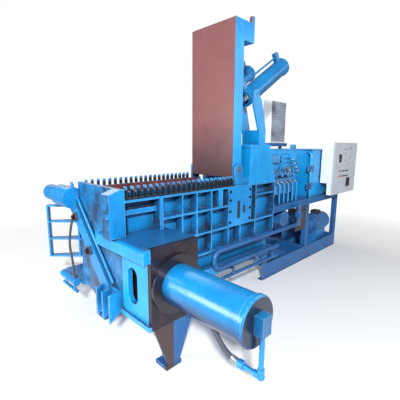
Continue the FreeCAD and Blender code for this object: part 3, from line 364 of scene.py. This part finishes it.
def plain_paint(name, base, shade, rough):
    """Factory powder coat: even and satin, with faint clouds, painted shade in the corners and a fine peel.
    """
    material, tree, surface, place = new_material(name, Coat_Weight=0.15, Coat_Roughness=0.3)
    point = place.outputs["Object"]
    colour = mix(tree, spread(tree, noise(tree, point, 0.2), 0.35, 0.7), linear(base), linear(shade))
    # painted shade: dark grey mixed into the corners that a 0.05 m occlusion finds
    corner = spread(tree, crevice(tree, 0.05), 0.8, 0.3)
    colour = mix(tree, math_of(tree, "MULTIPLY", corner, 0.6), colour, linear("#2c3440"))
    tree.links.new(colour, surface.inputs["Base Color"])
    value = math_of(tree, "ADD", rough, math_of(tree, "MULTIPLY", noise(tree, point, 0.05), 0.15))
    tree.links.new(value, surface.inputs["Roughness"])
    bump(tree, surface, noise(tree, point, 0.006), 0.0002)
    return material, tree, surface, place


def rusty_steel():
    """Bare washers gone to rust: orange brown, matt and pitted."""
    material, tree, surface, place = new_material("rusty washer steel", Specular_IOR_Level=0.2)
    point = place.outputs["Object"]
    pits = spread(tree, noise(tree, point, 0.012, 6.0, 0.7), 0.38, 0.62)
    colour = mix(tree, pits, linear("#7a4630"), linear("#3c2420"))
    tree.links.new(colour, surface.inputs["Base Color"])
    tree.links.new(spread(tree, noise(tree, point, 0.02), -1.2, 0.9), surface.inputs["Roughness"])
    bump(tree, surface, noise(tree, point, 0.004), 0.0006)
    return material


def cooler_paint():
    """The cooler's light grey coat, with its tray and feet in blue enamel."""
    material, tree, surface, place = plain_paint("cooler powder coat and tray enamel", "#f3f5f9",
                                                 "#e2e7ee", 0.45)
    colour = surface.inputs["Base Color"].links[0].from_socket
    tall = add(tree, "ShaderNodeSeparateXYZ", {"Vector": place.outputs["Object"]}).outputs["Z"]
    tray_top = high("oil_cooler")[2] - 0.695
    mask = spread(tree, tall, tray_top + 0.001, tray_top)
    tree.links.new(mix(tree, mask, colour, linear("#2a5a94")), surface.inputs["Base Color"])
    return material


def hose_rubber():
    """Wire-braided hose in grey wrapped rubber: dull, with the faint weave of the wrapping cloth."""
    material, tree, surface, place = new_material("wrapped hose rubber", Specular_IOR_Level=0.3)
    point = place.outputs["Object"]
    weave = add(tree, "ShaderNodeTexWave", {"Vector": point, "Scale": 60.0, "Distortion": 1.0}).outputs["Fac"]
    colour = mix(tree, weave, linear("#4c525e"), linear("#343943"))
    tree.links.new(colour, surface.inputs["Base Color"])
    tree.links.new(spread(tree, noise(tree, point, 0.03), -0.6, 1.0), surface.inputs["Roughness"])
    bump(tree, surface, weave, 0.0004)
    return material


def comb_steel():
    """The comb's plates: blue enamel on the caps, knocked off below, where rust and oil leave it black."""
    material, tree, surface, place = machine_paint("battered comb enamel", "#2a96d8", "#1a5c98", "#9db4c6",
                                                   0.05, 0.5)
    painted = surface.inputs["Base Color"].links[0].from_socket
    point = place.outputs["Object"]
    ragged = math_of(tree, "MULTIPLY", noise(tree, point, 0.03, 5.0), 0.05)
    tall = math_of(tree, "ADD", add(tree, "ShaderNodeSeparateXYZ", {"Vector": point}).outputs["Z"], ragged)
    top = high("front_comb")[2]
    black = math_of(tree, "MULTIPLY", spread(tree, tall, top + 0.014, top - 0.006), 0.96)
    tree.links.new(mix(tree, black, painted, linear("#07090f")), surface.inputs["Base Color"])
    return material


PAINTS = {}


def make_materials():
    """Every finish, made once and kept under a short name."""
    # Air-dried blue enamels, from the chipped box and the fresher housings to the darker frame, all with
    # painted shade on their tops
    PAINTS["blue"] = machine_paint("blue machine enamel", "#0a8bd2", "#0670ae", "#2b2530", 0.045)[0]
    PAINTS["bright"] = machine_paint("fresh blue machine enamel", "#0c9ae0", "#0886c8", "#26405f",
                                     0.015, 0.34, 0.8)[0]
    PAINTS["cylinder"] = machine_paint("smooth cylinder enamel", "#107cba", "#0b6aa4", "#24405c",
                                       0.0, 0.24, 0.0)[0]
    PAINTS["under"] = machine_paint("dusty blue enamel", "#155f9e", "#114c84", "#3b3a48", 0.05, 0.5)[0]
    PAINTS["leg"] = part_primed("primed leg enamel", low("front_leg") - 0.01, leg_primed_end())
    PAINTS["frame"] = part_primed("primed guard enamel", guard_low(), guard_high())
    PAINTS["liner"] = lined_paint("box enamel and worn liner", "#0a8bd2", "#0670ae")
    PAINTS["lid"] = lid_paint()
    PAINTS["ram"] = ram_paint()
    PAINTS["comb"] = comb_steel()
    # Oily primer, and bare metals: chromed, turned, blackened, rubbed by scrap, rusty, zinc plated
    PAINTS["primer"] = primer()
    PAINTS["rod"] = bare_steel("hard chromed rod", "#d8dce0", "#b8bec6", 0.10)
    PAINTS["steel"] = bare_steel("turned steel", "#9a9ea6", "#5c5f68", 0.30)
    PAINTS["bolt"] = bare_steel("blackened bolt steel", "#3b424e", "#20242e", 0.40)
    PAINTS["plate"] = bare_steel("scuffed press plate", "#6e5752", "#45312f", 0.45)
    PAINTS["rust"] = rusty_steel()
    PAINTS["zinc"] = bare_steel("zinc plated fitting", "#c3c8d0", "#8d949f", 0.28)
    # Powder coats of the cooler and the cabinet, and the plastics on its door
    PAINTS["cooler"] = cooler_paint()
    PAINTS["cabinet"] = plain_paint("white cabinet powder coat", "#e9edf1", "#dde2e7", 0.35)[0]
    PAINTS["door"] = plain_paint("light grey door powder coat", "#b9bec5", "#adb3bb", 0.35)[0]
    PAINTS["fins"] = plain_paint("aluminium cooler fins", "#8d93a0", "#565c69", 0.5)[0]
    PAINTS["black"] = plain_paint("black moulded plastic", "#20242b", "#15181d", 0.45)[0]
    PAINTS["red"] = plain_paint("red moulded plastic", "#c03028", "#a02820", 0.35)[0]
    PAINTS["green"] = plain_paint("green moulded plastic", "#2f8a58", "#24704a", 0.35)[0]
    # Enamels of the bought-in valves and motors, and of the new riser; the hoses' rubber
    PAINTS["valve"] = machine_paint("valve block enamel", "#2380c0", "#1b4c80", "#b9c2ca", 0.08, 0.4)[0]
    PAINTS["motor"] = machine_paint("motor enamel", "#2c7ec4", "#22548c", "#4b4450", 0.05, 0.4)[0]
    PAINTS["cyan"] = machine_paint("fresh cyan enamel", "#19b8f0", "#109bd8", "#2c4568", 0.0)[0]
    PAINTS["hose"] = hose_rubber()


NODE_PAINTS = {
    "liner": ["front_wall", "rear_wall", "box_floor", "end_wall", "back_wall"],
    "lid": ["lid"],
    "comb": ["front_comb", "rear_comb"],
    "primer": ["ram_end_plate"],
    "leg": ["front_leg", "rear_leg"],
    "frame": ["power_pack_frame"],
    "bright": ["front_pedestal", "rear_pedestal", "oil_tank", "ram_housing"],
    "cylinder": ["front_lid_cylinder", "rear_lid_cylinder"],
    "ram": ["ram_cylinder", "ram_cylinder_cap"],
    "blue": ["front_hinge_bearing", "rear_hinge_bearing", "ram_port_pipe", "door_brace", "bale_door",
             "bale_door_frame", "lock_cylinder"],
    "under": ["upper_side_pipe", "lower_side_pipe", "power_pack_skid"],
    "rod": ["front_lid_stage", "rear_lid_stage", "front_lid_rod", "rear_lid_rod"],
    "steel": ["lid_pin"],
    "plate": ["main_ram", "side_ram"],
    "cooler": ["oil_cooler"],
    "cabinet": ["control_cabinet"],
    "door": ["cabinet_door"],
    "valve": ["valve_stand"],
    "motor": ["pump_unit", "oil_filter"],
    "hose": ["ram_port_hose", "lock_hose"],
}


# Making meshes from arrays

def grid_faces(rows, columns, wrap_rows=False, wrap_columns=True):
    """Quads of a grid of points, row after row, closed round where it wraps."""
    last_row = rows if wrap_rows else rows - 1
    last_column = columns if wrap_columns else columns - 1
    row, column = np.meshgrid(np.arange(last_row), np.arange(last_column), indexing="ij")
    next_row, next_column = (row + 1) % rows, (column + 1) % columns
    return np.stack([row * columns + column, row * columns + next_column,
                     next_row * columns + next_column, next_row * columns + column], -1).reshape(-1, 4)


def add_piece(name, body, paint, slot, points, faces, smooth=False):
    """A mesh piece from its points and quads, riding on a body."""
    mesh = bpy.data.meshes.new(name)
    mesh.from_pydata(points.reshape(-1, 3).tolist(), [], faces.tolist())
    mesh.polygons.foreach_set("use_smooth", [smooth] * len(mesh.polygons))
    mesh.materials.append(PAINTS[paint])
    mesh.validate()
    piece = bpy.data.objects.new(name, mesh)
    bpy.context.scene.collection.objects.link(piece)
    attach(piece, body)
    return piece


def repeated(points, faces, places):
    """One shape's points and faces, copied to each place."""
    many = points.reshape(1, -1, 3) + np.asarray(places, float).reshape(-1, 1, 3)
    steps = np.arange(len(many)).reshape(-1, 1, 1) * points.reshape(-1, 3).shape[0]
    return many.reshape(-1, 3), (faces.reshape(1, -1, 4) + steps).reshape(-1, 4)


def basis(axis):
    """Two unit vectors square to an axis, and the axis itself."""
    axis = np.asarray(axis, float) / np.linalg.norm(axis)
    side = np.cross(axis, (0.0, 0.0, 1.0) if abs(axis[2]) < 0.9 else (1.0, 0.0, 0.0))
    side /= np.linalg.norm(side)
    return side, np.cross(axis, side), axis


def turned(profile, axis, sides=24, corner=0.0):
    """A profile of (radius, height) pairs turned about an axis.
    Point = radius * scale(angle) * (cos, sin) + height * axis. With corner at 6 the scale is that of
    a hexagon, 1 / cos of the angle from the middle of its side; with 0 it is a circle."""
    side, up, axis = basis(axis)
    profile = np.asarray(profile, float)
    angle = np.linspace(0, 2 * np.pi, sides, endpoint=False)
    scale = np.ones_like(angle)
    if corner:
        step = 2 * np.pi / corner
        scale = 1 / np.cos((angle % step) - step / 2)
    ring = (np.cos(angle) * scale)[:, None] * side + (np.sin(angle) * scale)[:, None] * up
    points = profile[:, 0, None, None] * ring[None] + profile[:, 1, None, None] * axis
    return points, grid_faces(len(profile), sides)


def hex_head(width, height, axis):
    """A bolt head, width across flats: a hexagon with its corners taken off at the top."""
    half = width / 2
    washer = [(0.0, 0.0), (half * 1.3, 0.0), (half * 1.3, height * 0.2)]
    head = [(half, height * 0.2), (half, height * 0.9), (half * 0.86, height), (0.0, height)]
    return turned(washer + head, axis, 24, 6)


def rounded_box(lowest, highest, radius):
    """A block with rounded edges. Point = corner of the inner block + radius * unit direction,
    the direction swept over a sphere and each point sent to the inner corner on its own side."""
    lowest, highest = np.asarray(lowest, float), np.asarray(highest, float)
    latitude = np.array([-90, -89.9, -60, -30, -0.1, 0.1, 30, 60, 89.9, 90]) * np.pi / 180
    turn = (np.array([0.1, 30, 60, 89.9]) + np.arange(4)[:, None] * 90).ravel() * np.pi / 180
    across, around = np.meshgrid(latitude, turn, indexing="ij")
    flat = np.cos(across)
    direction = np.stack([flat * np.cos(around), flat * np.sin(around), np.sin(across)], -1)
    middle, half = (lowest + highest) / 2, (highest - lowest) / 2 - radius
    sign = np.sign(np.where(np.abs(direction) < 1e-9, 1e-9, direction))
    reach = np.ones_like(across)
    reach[0], reach[-1] = 0.0, 0.0
    sign[..., 0] *= reach
    sign[..., 1] *= reach
    return middle + sign * half + direction * radius, grid_faces(len(latitude), len(turn))


def swept(path, radius, sides=12):
    """A round tube along a path, with one radius for all or one for each point: a circle square to the
    path's direction at each point, carried on with the least twist by taking the last circle's side
    vector and making it square again."""
    path = np.asarray(path, float)
    tangent = np.gradient(path, axis=0)
    tangent /= np.linalg.norm(tangent, axis=1)[:, None]
    sides_at = [basis(tangent[0])[0]]
    for direction in tangent[1:]:
        flat = sides_at[-1] - direction * (sides_at[-1] @ direction)
        sides_at.append(flat / np.linalg.norm(flat))
    side = np.array(sides_at)
    up = np.cross(tangent, side)
    angle = np.linspace(0, 2 * np.pi, sides, endpoint=False)
    radius = np.broadcast_to(radius, len(path))[:, None, None]
    points = (path[:, None] + radius * (np.cos(angle)[None, :, None] * side[:, None]
                                        + np.sin(angle)[None, :, None] * up[:, None]))
    start, end = np.repeat(path[:1, None], sides, 1), np.repeat(path[-1:, None], sides, 1)
    points = np.concatenate([start, points, end])
    return points, grid_faces(len(points), sides)


def bent_route(corners, bend, steps=8):
    """A polyline whose corners are rounded. Each corner is replaced by the quadratic curve
    (1-t)^2 a + 2 t (1-t) corner + t^2 b between points a and b at the bend's distance from it."""
    corners = np.asarray(corners, float)
    t = np.linspace(0, 1, steps)[:, None]
    route = [corners[:1]]
    for before, corner, after in zip(corners, corners[1:], corners[2:]):
        back, onward = before - corner, after - corner
        a = corner + back / np.linalg.norm(back) * min(bend, np.linalg.norm(back) * 0.45)
        b = corner + onward / np.linalg.norm(onward) * min(bend, np.linalg.norm(onward) * 0.45)
        route.append((1 - t) ** 2 * a + 2 * t * (1 - t) * corner + t ** 2 * b)
    route.append(corners[-1:])
    return np.concatenate(route)


def joined(shapes):
    """Several shapes as one set of points and faces."""
    points, faces, count = [], [], 0
    for shape_points, shape_faces in shapes:
        flat = shape_points.reshape(-1, 3)
        points.append(flat)
        faces.append(shape_faces + count)
        count += len(flat)
    return np.concatenate(points), np.concatenate(faces)


# Settings

class BalingPressSizes(bpy.types.PropertyGroup):
    """Sizes and colours that a user would change."""
    lens: bpy.props.FloatProperty(name="Lens", description="Focal length of the camera", default=27.81,
                                  unit="CAMERA")
    eye_height: bpy.props.FloatProperty(name="Eye height", description="Height of the camera above the floor",
                                        default=1.70, unit="LENGTH")
    fin_pitch: bpy.props.FloatProperty(name="Fin pitch", description="Distance between the cooler's fins",
                                       default=0.012, unit="LENGTH")
    motor_ribs: bpy.props.IntProperty(name="Motor ribs", description="Cooling ribs round a motor",
                                      default=36, min=12)
    floor_colour: bpy.props.FloatVectorProperty(name="Floor", description="Colour of the studio floor",
                                                default=(0.82, 0.82, 0.82), subtype="COLOR")


def sizes():
    """The scene's settings."""
    return bpy.context.scene.baling_press


# Operators

class PRESS_OT_stage(bpy.types.Operator):
    """Camera, floor, background and lamps"""
    bl_idname = "baling_press.stage"
    bl_label = "Studio"

    def execute(self, context):
        scene = context.scene
        scene.view_settings.view_transform = "Standard"
        camera = bpy.data.objects.new("camera", bpy.data.cameras.new("camera"))
        scene.collection.objects.link(camera)
        scene.camera = camera
        camera.data.lens = sizes().lens
        camera.data.sensor_width = 36.0
        stand = Matrix.Translation((CAMERA_X, CAMERA_Y, sizes().eye_height))
        turn = Matrix.Rotation(math.radians(CAMERA_TURN), 4, "Z")
        tilt = Matrix.Rotation(math.radians(90 - CAMERA_DIP), 4, "X")
        roll = Matrix.Rotation(math.radians(CAMERA_ROLL), 4, "Z")
        camera.matrix_world = stand @ turn @ tilt @ roll
        self.floor(scene)
        self.world(scene)
        for name, place, aim, size, power in LAMPS:
            self.lamp(scene, name, np.array(place), np.array(aim), size, power)
        return {"FINISHED"}

    def lamp(self, scene, name, place, aim, size, power):
        """A square soft lamp that faces a point."""
        data = bpy.data.lights.new(name, "AREA")
        data.size = size
        data.energy = power
        lamp = bpy.data.objects.new(name, data)
        scene.collection.objects.link(lamp)
        side, up, away = basis(place - aim)
        columns = np.column_stack([side, up, away, place])
        lamp.matrix_world = Matrix(np.vstack([columns, (0, 0, 0, 1)]).tolist())

    def floor(self, scene):
        """A level pale floor that fades into the white background a few metres round the object."""
        points = np.array([(-9, -9, 0), (11, -9, 0), (11, 11, 0), (-9, 11, 0)], float)
        mesh = bpy.data.meshes.new("floor")
        mesh.from_pydata(points.tolist(), [], [(0, 1, 2, 3)])
        floor = bpy.data.objects.new("floor", mesh)
        scene.collection.objects.link(floor)
        material = bpy.data.materials.new("pale studio floor")
        material.use_nodes = True
        tree = material.node_tree
        surface = tree.nodes["Principled BSDF"]
        surface.inputs["Base Color"].default_value = (*sizes().floor_colour, 1.0)
        surface.inputs["Roughness"].default_value = 0.9
        place = add(tree, "ShaderNodeTexCoord")
        apart = add(tree, "ShaderNodeVectorMath", {0: place.outputs["Object"], 1: FLOOR_MIDDLE},
                    operation="DISTANCE")
        fade = spread(tree, apart.outputs["Value"], FADE_START, FADE_END)
        clear = add(tree, "ShaderNodeBsdfTransparent")
        both = add(tree, "ShaderNodeMixShader", {0: fade, 1: surface.outputs["BSDF"], 2: clear.outputs[0]})
        tree.links.new(both.outputs[0], tree.nodes["Material Output"].inputs["Surface"])
        mesh.materials.append(material)

    def world(self, scene):
        """White where the camera looks at it, straight or through glass; a soft grey as a light."""
        world = bpy.data.worlds.new("studio")
        scene.world = world
        world.use_nodes = True
        tree = world.node_tree
        tree.nodes.clear()
        ray = add(tree, "ShaderNodeLightPath")
        seen = math_of(tree, "MAXIMUM", ray.outputs["Is Camera Ray"], ray.outputs["Is Transmission Ray"])
        soft = add(tree, "ShaderNodeBackground", {"Color": (0.9, 0.95, 1.0, 1.0), "Strength": 0.27})
        white = add(tree, "ShaderNodeBackground", {"Color": (1.0, 1.0, 1.0, 1.0), "Strength": 1.0})
        both = add(tree, "ShaderNodeMixShader", {0: seen, 1: soft.outputs[0], 2: white.outputs[0]})
        output = add(tree, "ShaderNodeOutputWorld")
        tree.links.new(both.outputs[0], output.inputs["Surface"])


class PRESS_OT_hoses(bpy.types.Operator):
    """The side ram's hose and the lock's thin hose, as smooth curves"""
    bl_idname = "baling_press.hoses"
    bl_label = "Hoses"

    def execute(self, context):
        union = high("ram_port_pipe")
        middle = (low("ram_port_pipe") + high("ram_port_pipe")) / 2
        y = union[1]
        x = middle[0]
        z = low("ram_port_hose")[2] + RAM_HOSE
        route = [(x, y, z), (x, y + 0.15, z), (x, y + 0.23, z + 0.17)]
        self.hose("ram_hose", "ram_port_hose", route, RAM_HOSE, True)
        x = high("lock_hose")[0] - LOCK_HOSE
        y = low("lock_cylinder")[1] + 0.038
        z = low("lock_hose")[2]
        route = [(x - 0.0065, y - 0.07, 1.06), (x - 0.03, y + 0.03, 0.82), (x - 0.01, y, z + 0.16), (x, y, z)]
        self.hose("door_lock_hose", "lock_hose", route, LOCK_HOSE)
        return {"FINISHED"}

    def hose(self, name, node, route, radius, crimped=False):
        """One hose along the points of its route, with a crimped ferrule at its exit if asked."""
        data = bpy.data.curves.new(name, "CURVE")
        data.dimensions = "3D"
        data.bevel_resolution = 5
        data.use_fill_caps = True
        spline = data.splines.new("NURBS")
        spline.points.add(len(route) - 1)
        for point, place in zip(spline.points, route):
            point.co = (*place, 1.0)
        spline.order_u = 3
        spline.use_endpoint_u = True
        spline.resolution_u = 24
        data.materials.append(PAINTS["hose"])
        piece = bpy.data.objects.new(name, data)
        bpy.context.scene.collection.objects.link(piece)
        fittings = [self.ferrule(piece, radius)] if crimped else []
        data.bevel_depth = radius
        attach(piece, "press")
        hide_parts(node)

    def ferrule(self, hose, radius):
        """Sleeve along the first 55 mm of the hose's own line, read before the hose gets its width.
        Its radius is the hose's and 4.5 mm, and 1.5 mm more at every other crimp."""
        line = bpy.data.meshes.new_from_object(hose)
        path = np.array([vertex.co for vertex in line.vertices])
        bpy.data.meshes.remove(line)
        passed = np.concatenate([[0.0], np.cumsum(np.linalg.norm(np.diff(path, axis=0), axis=1))])
        steps = np.linspace(0.0, 0.055, 12)
        centres = np.stack([np.interp(steps, passed, path[:, axis]) for axis in range(3)], 1)
        sleeve = swept(centres, radius + 0.0045 + 0.0015 * (np.arange(12) % 2), 32)
        return add_piece("hose_ferrule", "press", "zinc", "valve_body", *sleeve)


class PRESS_OT_paint(bpy.types.Operator):
    """Finishes on the frame's own nodes"""
    bl_idname = "baling_press.paint"
    bl_label = "Paint"

    def execute(self, context):
        make_materials()
        for paint, nodes in NODE_PAINTS.items():
            for node in nodes:
                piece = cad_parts[node]
                piece.data.materials.clear()
                piece.data.materials.append(PAINTS[paint])
        return {"FINISHED"}


class PRESS_OT_bolts(bpy.types.Operator):
    """Rusty washers and bolt heads on the inclined brace, and bolts along the flanges of the flat panel"""
    bl_idname = "baling_press.bolts"
    bl_label = "Bolts"

    def execute(self, context):
        disc = [(0.0, 0.0), (0.040, 0.0), (0.040, 0.006), (0.036, 0.008), (0.0, 0.008)]
        washer = turned(disc, (-1, 0, 0), 32)
        add_piece("brace_washers", "press", "rust", "blue_paint", *repeated(*washer, BRACE_BOLTS))
        head = hex_head(0.036, 0.022, (-1, 0, 0))
        heads = [(x - 0.008, y, z) for x, y, z in BRACE_BOLTS]
        add_piece("brace_bolt_heads", "press", "bolt", "blue_paint", *repeated(*head, heads))
        wall = low("front_wall")
        small = hex_head(0.022, 0.012, (0, -1, 0))
        columns = wall[0] + np.array([1.25, 1.59])
        rows = np.array([0.90, 1.02, 1.14, 1.23])
        spots = [(x, wall[1], z) for x in columns for z in rows]
        add_piece("panel_bolts", "press", "bolt", "blue_paint", *repeated(*small, spots))
        front, back = wall[1] - 0.006, wall[1] + 0.001
        slots = [rounded_box((wall[0] + left, front, bottom), (wall[0] + right, back, top), 0.002)
                 for left, right, bottom, top in ((1.37, 1.41, 0.93, 1.12), (1.47, 1.50, 0.98, 1.06))]
        add_piece("panel_slots", "press", "black", "blue_paint", *joined(slots))
        return {"FINISHED"}


class PRESS_OT_pipework(bpy.types.Operator):
    """Tubes, unions, check valves and a gauge between the valve stand and the tank"""
    bl_idname = "baling_press.pipework"
    bl_label = "Pipework"

    def execute(self, context):
        stand_low, stand_high = low("valve_stand"), high("valve_stand")
        tank = low("oil_tank")
        deck = high("power_pack_frame")[2]
        top = stand_high[2] - 0.10
        tubes, nuts = [], []
        across = np.linspace(stand_low[1] + 0.16, stand_high[1] - 0.16, 4)
        for number, y in enumerate(across):
            x = stand_high[0] - 0.06 - 0.035 * (number % 2)
            rise = top + 0.16 + 0.055 * number
            route = [(x, y, top - 0.02), (x, y, rise), (tank[0] - 0.12, y, rise),
                     (tank[0] - 0.12, y, rise - 0.10), (tank[0] + 0.004, y, rise - 0.10)]
            tubes.append(swept(bent_route(route, 0.05), 0.011))
            nuts.append(self.nut((x, y, top - 0.004), (0, 0, 1)))
            nuts.append(self.nut((tank[0], y, rise - 0.10), (-1, 0, 0)))
        front = stand_low[1] + 0.02
        for number in range(5):
            x = stand_low[0] + 0.08 + 0.11 * number
            route = [(x, front, top - 0.05), (x, front - 0.07, top - 0.05),
                     (x, front - 0.07, deck + 0.03 * (number % 2)), (x, front - 0.07, deck - 0.002)]
            tubes.append(swept(bent_route(route, 0.04), 0.010))
            nuts.append(self.nut((x, front - 0.02, top - 0.05), (0, -1, 0)))
        add_piece("valve_tubes", "press", "bright", "blue_paint", *joined(tubes), smooth=True)
        add_piece("tube_nuts", "press", "zinc", "valve_body", *joined(nuts))
        riser = (tank[0] - 0.05, tank[1] - 0.02)
        upright = np.linspace((*riser, deck - 0.002), (*riser, deck + 0.62), 3)
        turn = bent_route([(*riser, deck + 0.60), (*riser, deck + 0.66),
                           (tank[0] + 0.06, riser[1] + 0.14, deck + 0.66)], 0.03)
        pipes = [swept(route, 0.019, 20) for route in (upright, turn)]
        add_piece("tank_riser", "press", "cyan", "blue_paint", *joined(pipes), smooth=True)
        middles = [np.array((*riser, deck + z + 0.045)) for z in (0.14, 0.40)]
        half = np.array((0.035, 0.035, 0.045))
        bodies = [rounded_box(middle - half, middle + half, 0.006) for middle in middles]
        add_piece("riser_valves", "press", "valve", "valve_body", *joined(bodies))
        gauge_place = np.array((stand_high[0] - 0.05, stand_low[1] + 0.11, top - 0.02))
        stem = turned([(0.0, 0.0), (0.012, 0.0), (0.012, 0.10), (0.0, 0.10)], (0, 0, 1), 16)
        dial = turned([(0.0, 0.0), (0.042, 0.0), (0.044, 0.004), (0.044, 0.030), (0.038, 0.034),
                       (0.036, 0.030), (0.0, 0.030)], (0, -1, 0), 32)
        case = (dial[0] + np.array((0, 0.016, 0.13)), dial[1])
        points, faces = joined([stem, case])
        add_piece("pressure_gauge", "press", "zinc", "valve_body", points + gauge_place, faces)
        box_low = (tank[0] - 0.06, tank[1] + 0.52, deck + 0.50)
        box_high = (tank[0] + 0.002, tank[1] + 0.72, deck + 0.62)
        add_piece("tank_junction_box", "press", "valve", "blue_paint", *rounded_box(box_low, box_high, 0.008))
        return {"FINISHED"}

    def nut(self, place, axis):
        """A union nut with a collar."""
        points, faces = hex_head(0.032, 0.030, axis)
        return points + np.array(place), faces


class PRESS_OT_cooler(bpy.types.Operator):
    """Fin blocks on both faces of the oil cooler"""
    bl_idname = "baling_press.cooler"
    bl_label = "Cooler"

    def execute(self, context):
        lowest, highest = low("oil_cooler"), high("oil_cooler")
        tray = 0.030
        face = lowest[1] + tray
        left, right = lowest[0] + tray + 0.02, highest[0] - tray - 0.02
        bottom, top = highest[2] - 0.675, highest[2] - 0.02
        points, faces = self.fins(left, right, bottom, top, face)
        add_piece("cooler_fins", "press", "fins", "cooler_paint", points, faces)
        back_points = points.copy()
        back_points[..., 1] = highest[1] - tray + (face - points[..., 1])
        add_piece("cooler_back_fins", "press", "fins", "cooler_paint", back_points, faces[:, ::-1])
        return {"FINISHED"}

    def fins(self, left, right, bottom, top, face):
        """Corrugated block standing 8 mm proud: depth = 8 mm * triangle wave of x, less 5 mm where
        the flat tubes run across, each 45 mm up; its border is pulled back to the face."""
        columns = int((right - left) / sizes().fin_pitch) * 2 + 1
        rows = int((top - bottom) / 0.015) + 1
        z, x = np.meshgrid(np.linspace(bottom, top, rows), np.linspace(left, right, columns), indexing="ij")
        wave = np.abs((np.arange(columns) % 2))[None, :]
        tube = (np.arange(rows) % 3 == 0)[:, None]
        depth = 0.003 + 0.005 * wave * ~tube
        depth[0], depth[-1], depth[:, 0], depth[:, -1] = -0.002, -0.002, -0.002, -0.002
        return np.stack([x, face - depth, z], -1), grid_faces(rows, columns, wrap_columns=False)


class PRESS_OT_cabinet(bpy.types.Operator):
    """Buttons, lamps and windows of the control cabinet"""
    bl_idname = "baling_press.cabinet"
    bl_label = "Cabinet fittings"

    def execute(self, context):
        lowest, highest = low("cabinet_door"), high("cabinet_door")
        face = lowest[1] + 0.025
        left = lowest[0]
        dome = [(0.0, -0.001), (0.013, -0.001), (0.013, 0.006), (0.010, 0.006), (0.010, 0.014),
                (0.006, 0.018), (0.0, 0.018)]
        button = turned(dome, (0, -1, 0), 20)
        for name, paint, column in (("green_buttons", "green", 0.28), ("black_buttons", "black", 0.36),
                                    ("more_black_buttons", "black", 0.44), ("red_buttons", "red", 0.20),
                                    ("lamp_row", "black", 0.52)):
            places = [(left + column, face, lowest[2] + height) for height in (0.36, 0.28)]
            add_piece(name, "cabinet_door", paint, "cabinet_enamel", *repeated(*button, places))
        window = rounded_box((left + 0.16, face - 0.012, lowest[2] + 0.50),
                             (left + 0.24, face + 0.001, lowest[2] + 0.62), 0.004)
        gauges = rounded_box((left + 0.50, face - 0.008, lowest[2] + 0.10),
                             (left + 0.64, face + 0.001, lowest[2] + 0.24), 0.003)
        add_piece("cabinet_window", "cabinet_door", "black", "cabinet_enamel", *joined([window, gauges]))
        spots = [(left + x, face, lowest[2] + z) for x, z in
                 ((0.36, 0.70), (0.42, 0.70), (0.56, 0.70), (0.62, 0.72), (0.40, 0.62), (0.56, 0.56),
                  (0.62, 0.58), (0.42, 0.52), (0.58, 0.47))]
        small = turned([(0.0, -0.001), (0.008, -0.001), (0.008, 0.005), (0.0, 0.005)], (0, -1, 0), 12)
        add_piece("indicator_lamps", "cabinet_door", "black", "cabinet_enamel", *repeated(*small, spots))
        return {"FINISHED"}


class PRESS_OT_motors(bpy.types.Operator):
    """Cooling ribs and terminal boxes of the motors"""
    bl_idname = "baling_press.motors"
    bl_label = "Motor fittings"

    def execute(self, context):
        lowest, highest = low("pump_unit"), high("pump_unit")
        z = highest[2] - 0.145
        ribs = []
        boxes = []
        for end, y in ((highest[0], lowest[1] + 0.145), (highest[0] - 0.2, highest[1] - 0.145)):
            ribs.append(self.ribbed(np.array((end - 0.42, y, z)), 0.34))
            corners = (end - 0.32, y - 0.06, z + 0.140), (end - 0.18, y + 0.06, z + 0.205)
            boxes.append(rounded_box(*corners, 0.01))
        add_piece("motor_ribs", "press", "motor", "motor_paint", *joined(ribs))
        add_piece("terminal_boxes", "press", "black", "motor_paint", *joined(boxes))
        return {"FINISHED"}

    def ribbed(self, start, length):
        """Ribbed sleeve: radius = 146 mm + 12 mm on every other point round, along X."""
        count = sizes().motor_ribs * 4
        angle = np.linspace(0, 2 * np.pi, count, endpoint=False)
        radius = 0.146 + 0.012 * ((np.arange(count) // 2) % 2)
        ring = np.stack([np.zeros(count), radius * np.cos(angle), radius * np.sin(angle)], -1)
        inner = np.stack([np.zeros(count), 0.140 * np.cos(angle), 0.140 * np.sin(angle)], -1)
        along = np.array((length, 0.0, 0.0))
        points = np.stack([inner, ring, ring + along, inner + along]) + start
        return points, grid_faces(4, count)[:, ::-1]


class VIEW3D_PT_baling_press(bpy.types.Panel):
    """Lists the settings and the steps"""
    bl_label = "Baling press"
    bl_space_type = "VIEW_3D"
    bl_region_type = "UI"
    bl_category = "Baling press"

    def draw(self, context):
        for name in BalingPressSizes.__annotations__:
            self.layout.prop(context.scene.baling_press, name)
        for step in STEPS:
            self.layout.operator(step.bl_idname)


STEPS = (PRESS_OT_stage, PRESS_OT_paint, PRESS_OT_hoses, PRESS_OT_bolts, PRESS_OT_pipework, PRESS_OT_cooler,
         PRESS_OT_cabinet, PRESS_OT_motors)
CLASSES = (BalingPressSizes, *STEPS, VIEW3D_PT_baling_press)


def register():
    """Registers the classes and the scene's settings."""
    for each in CLASSES:
        bpy.utils.register_class(each)
    bpy.types.Scene.baling_press = bpy.props.PointerProperty(type=BalingPressSizes)


def unregister():
    """Takes the settings and the classes away again."""
    del bpy.types.Scene.baling_press
    for each in reversed(CLASSES):
        bpy.utils.unregister_class(each)


def main():
    """Makes the whole scene in order."""
    register()
    bpy.ops.baling_press.stage()
    bpy.ops.baling_press.paint()
    bpy.ops.baling_press.hoses()
    bpy.ops.baling_press.bolts()
    bpy.ops.baling_press.pipework()
    bpy.ops.baling_press.cooler()
    bpy.ops.baling_press.cabinet()
    bpy.ops.baling_press.motors()


if __name__ == "__main__":
    main()
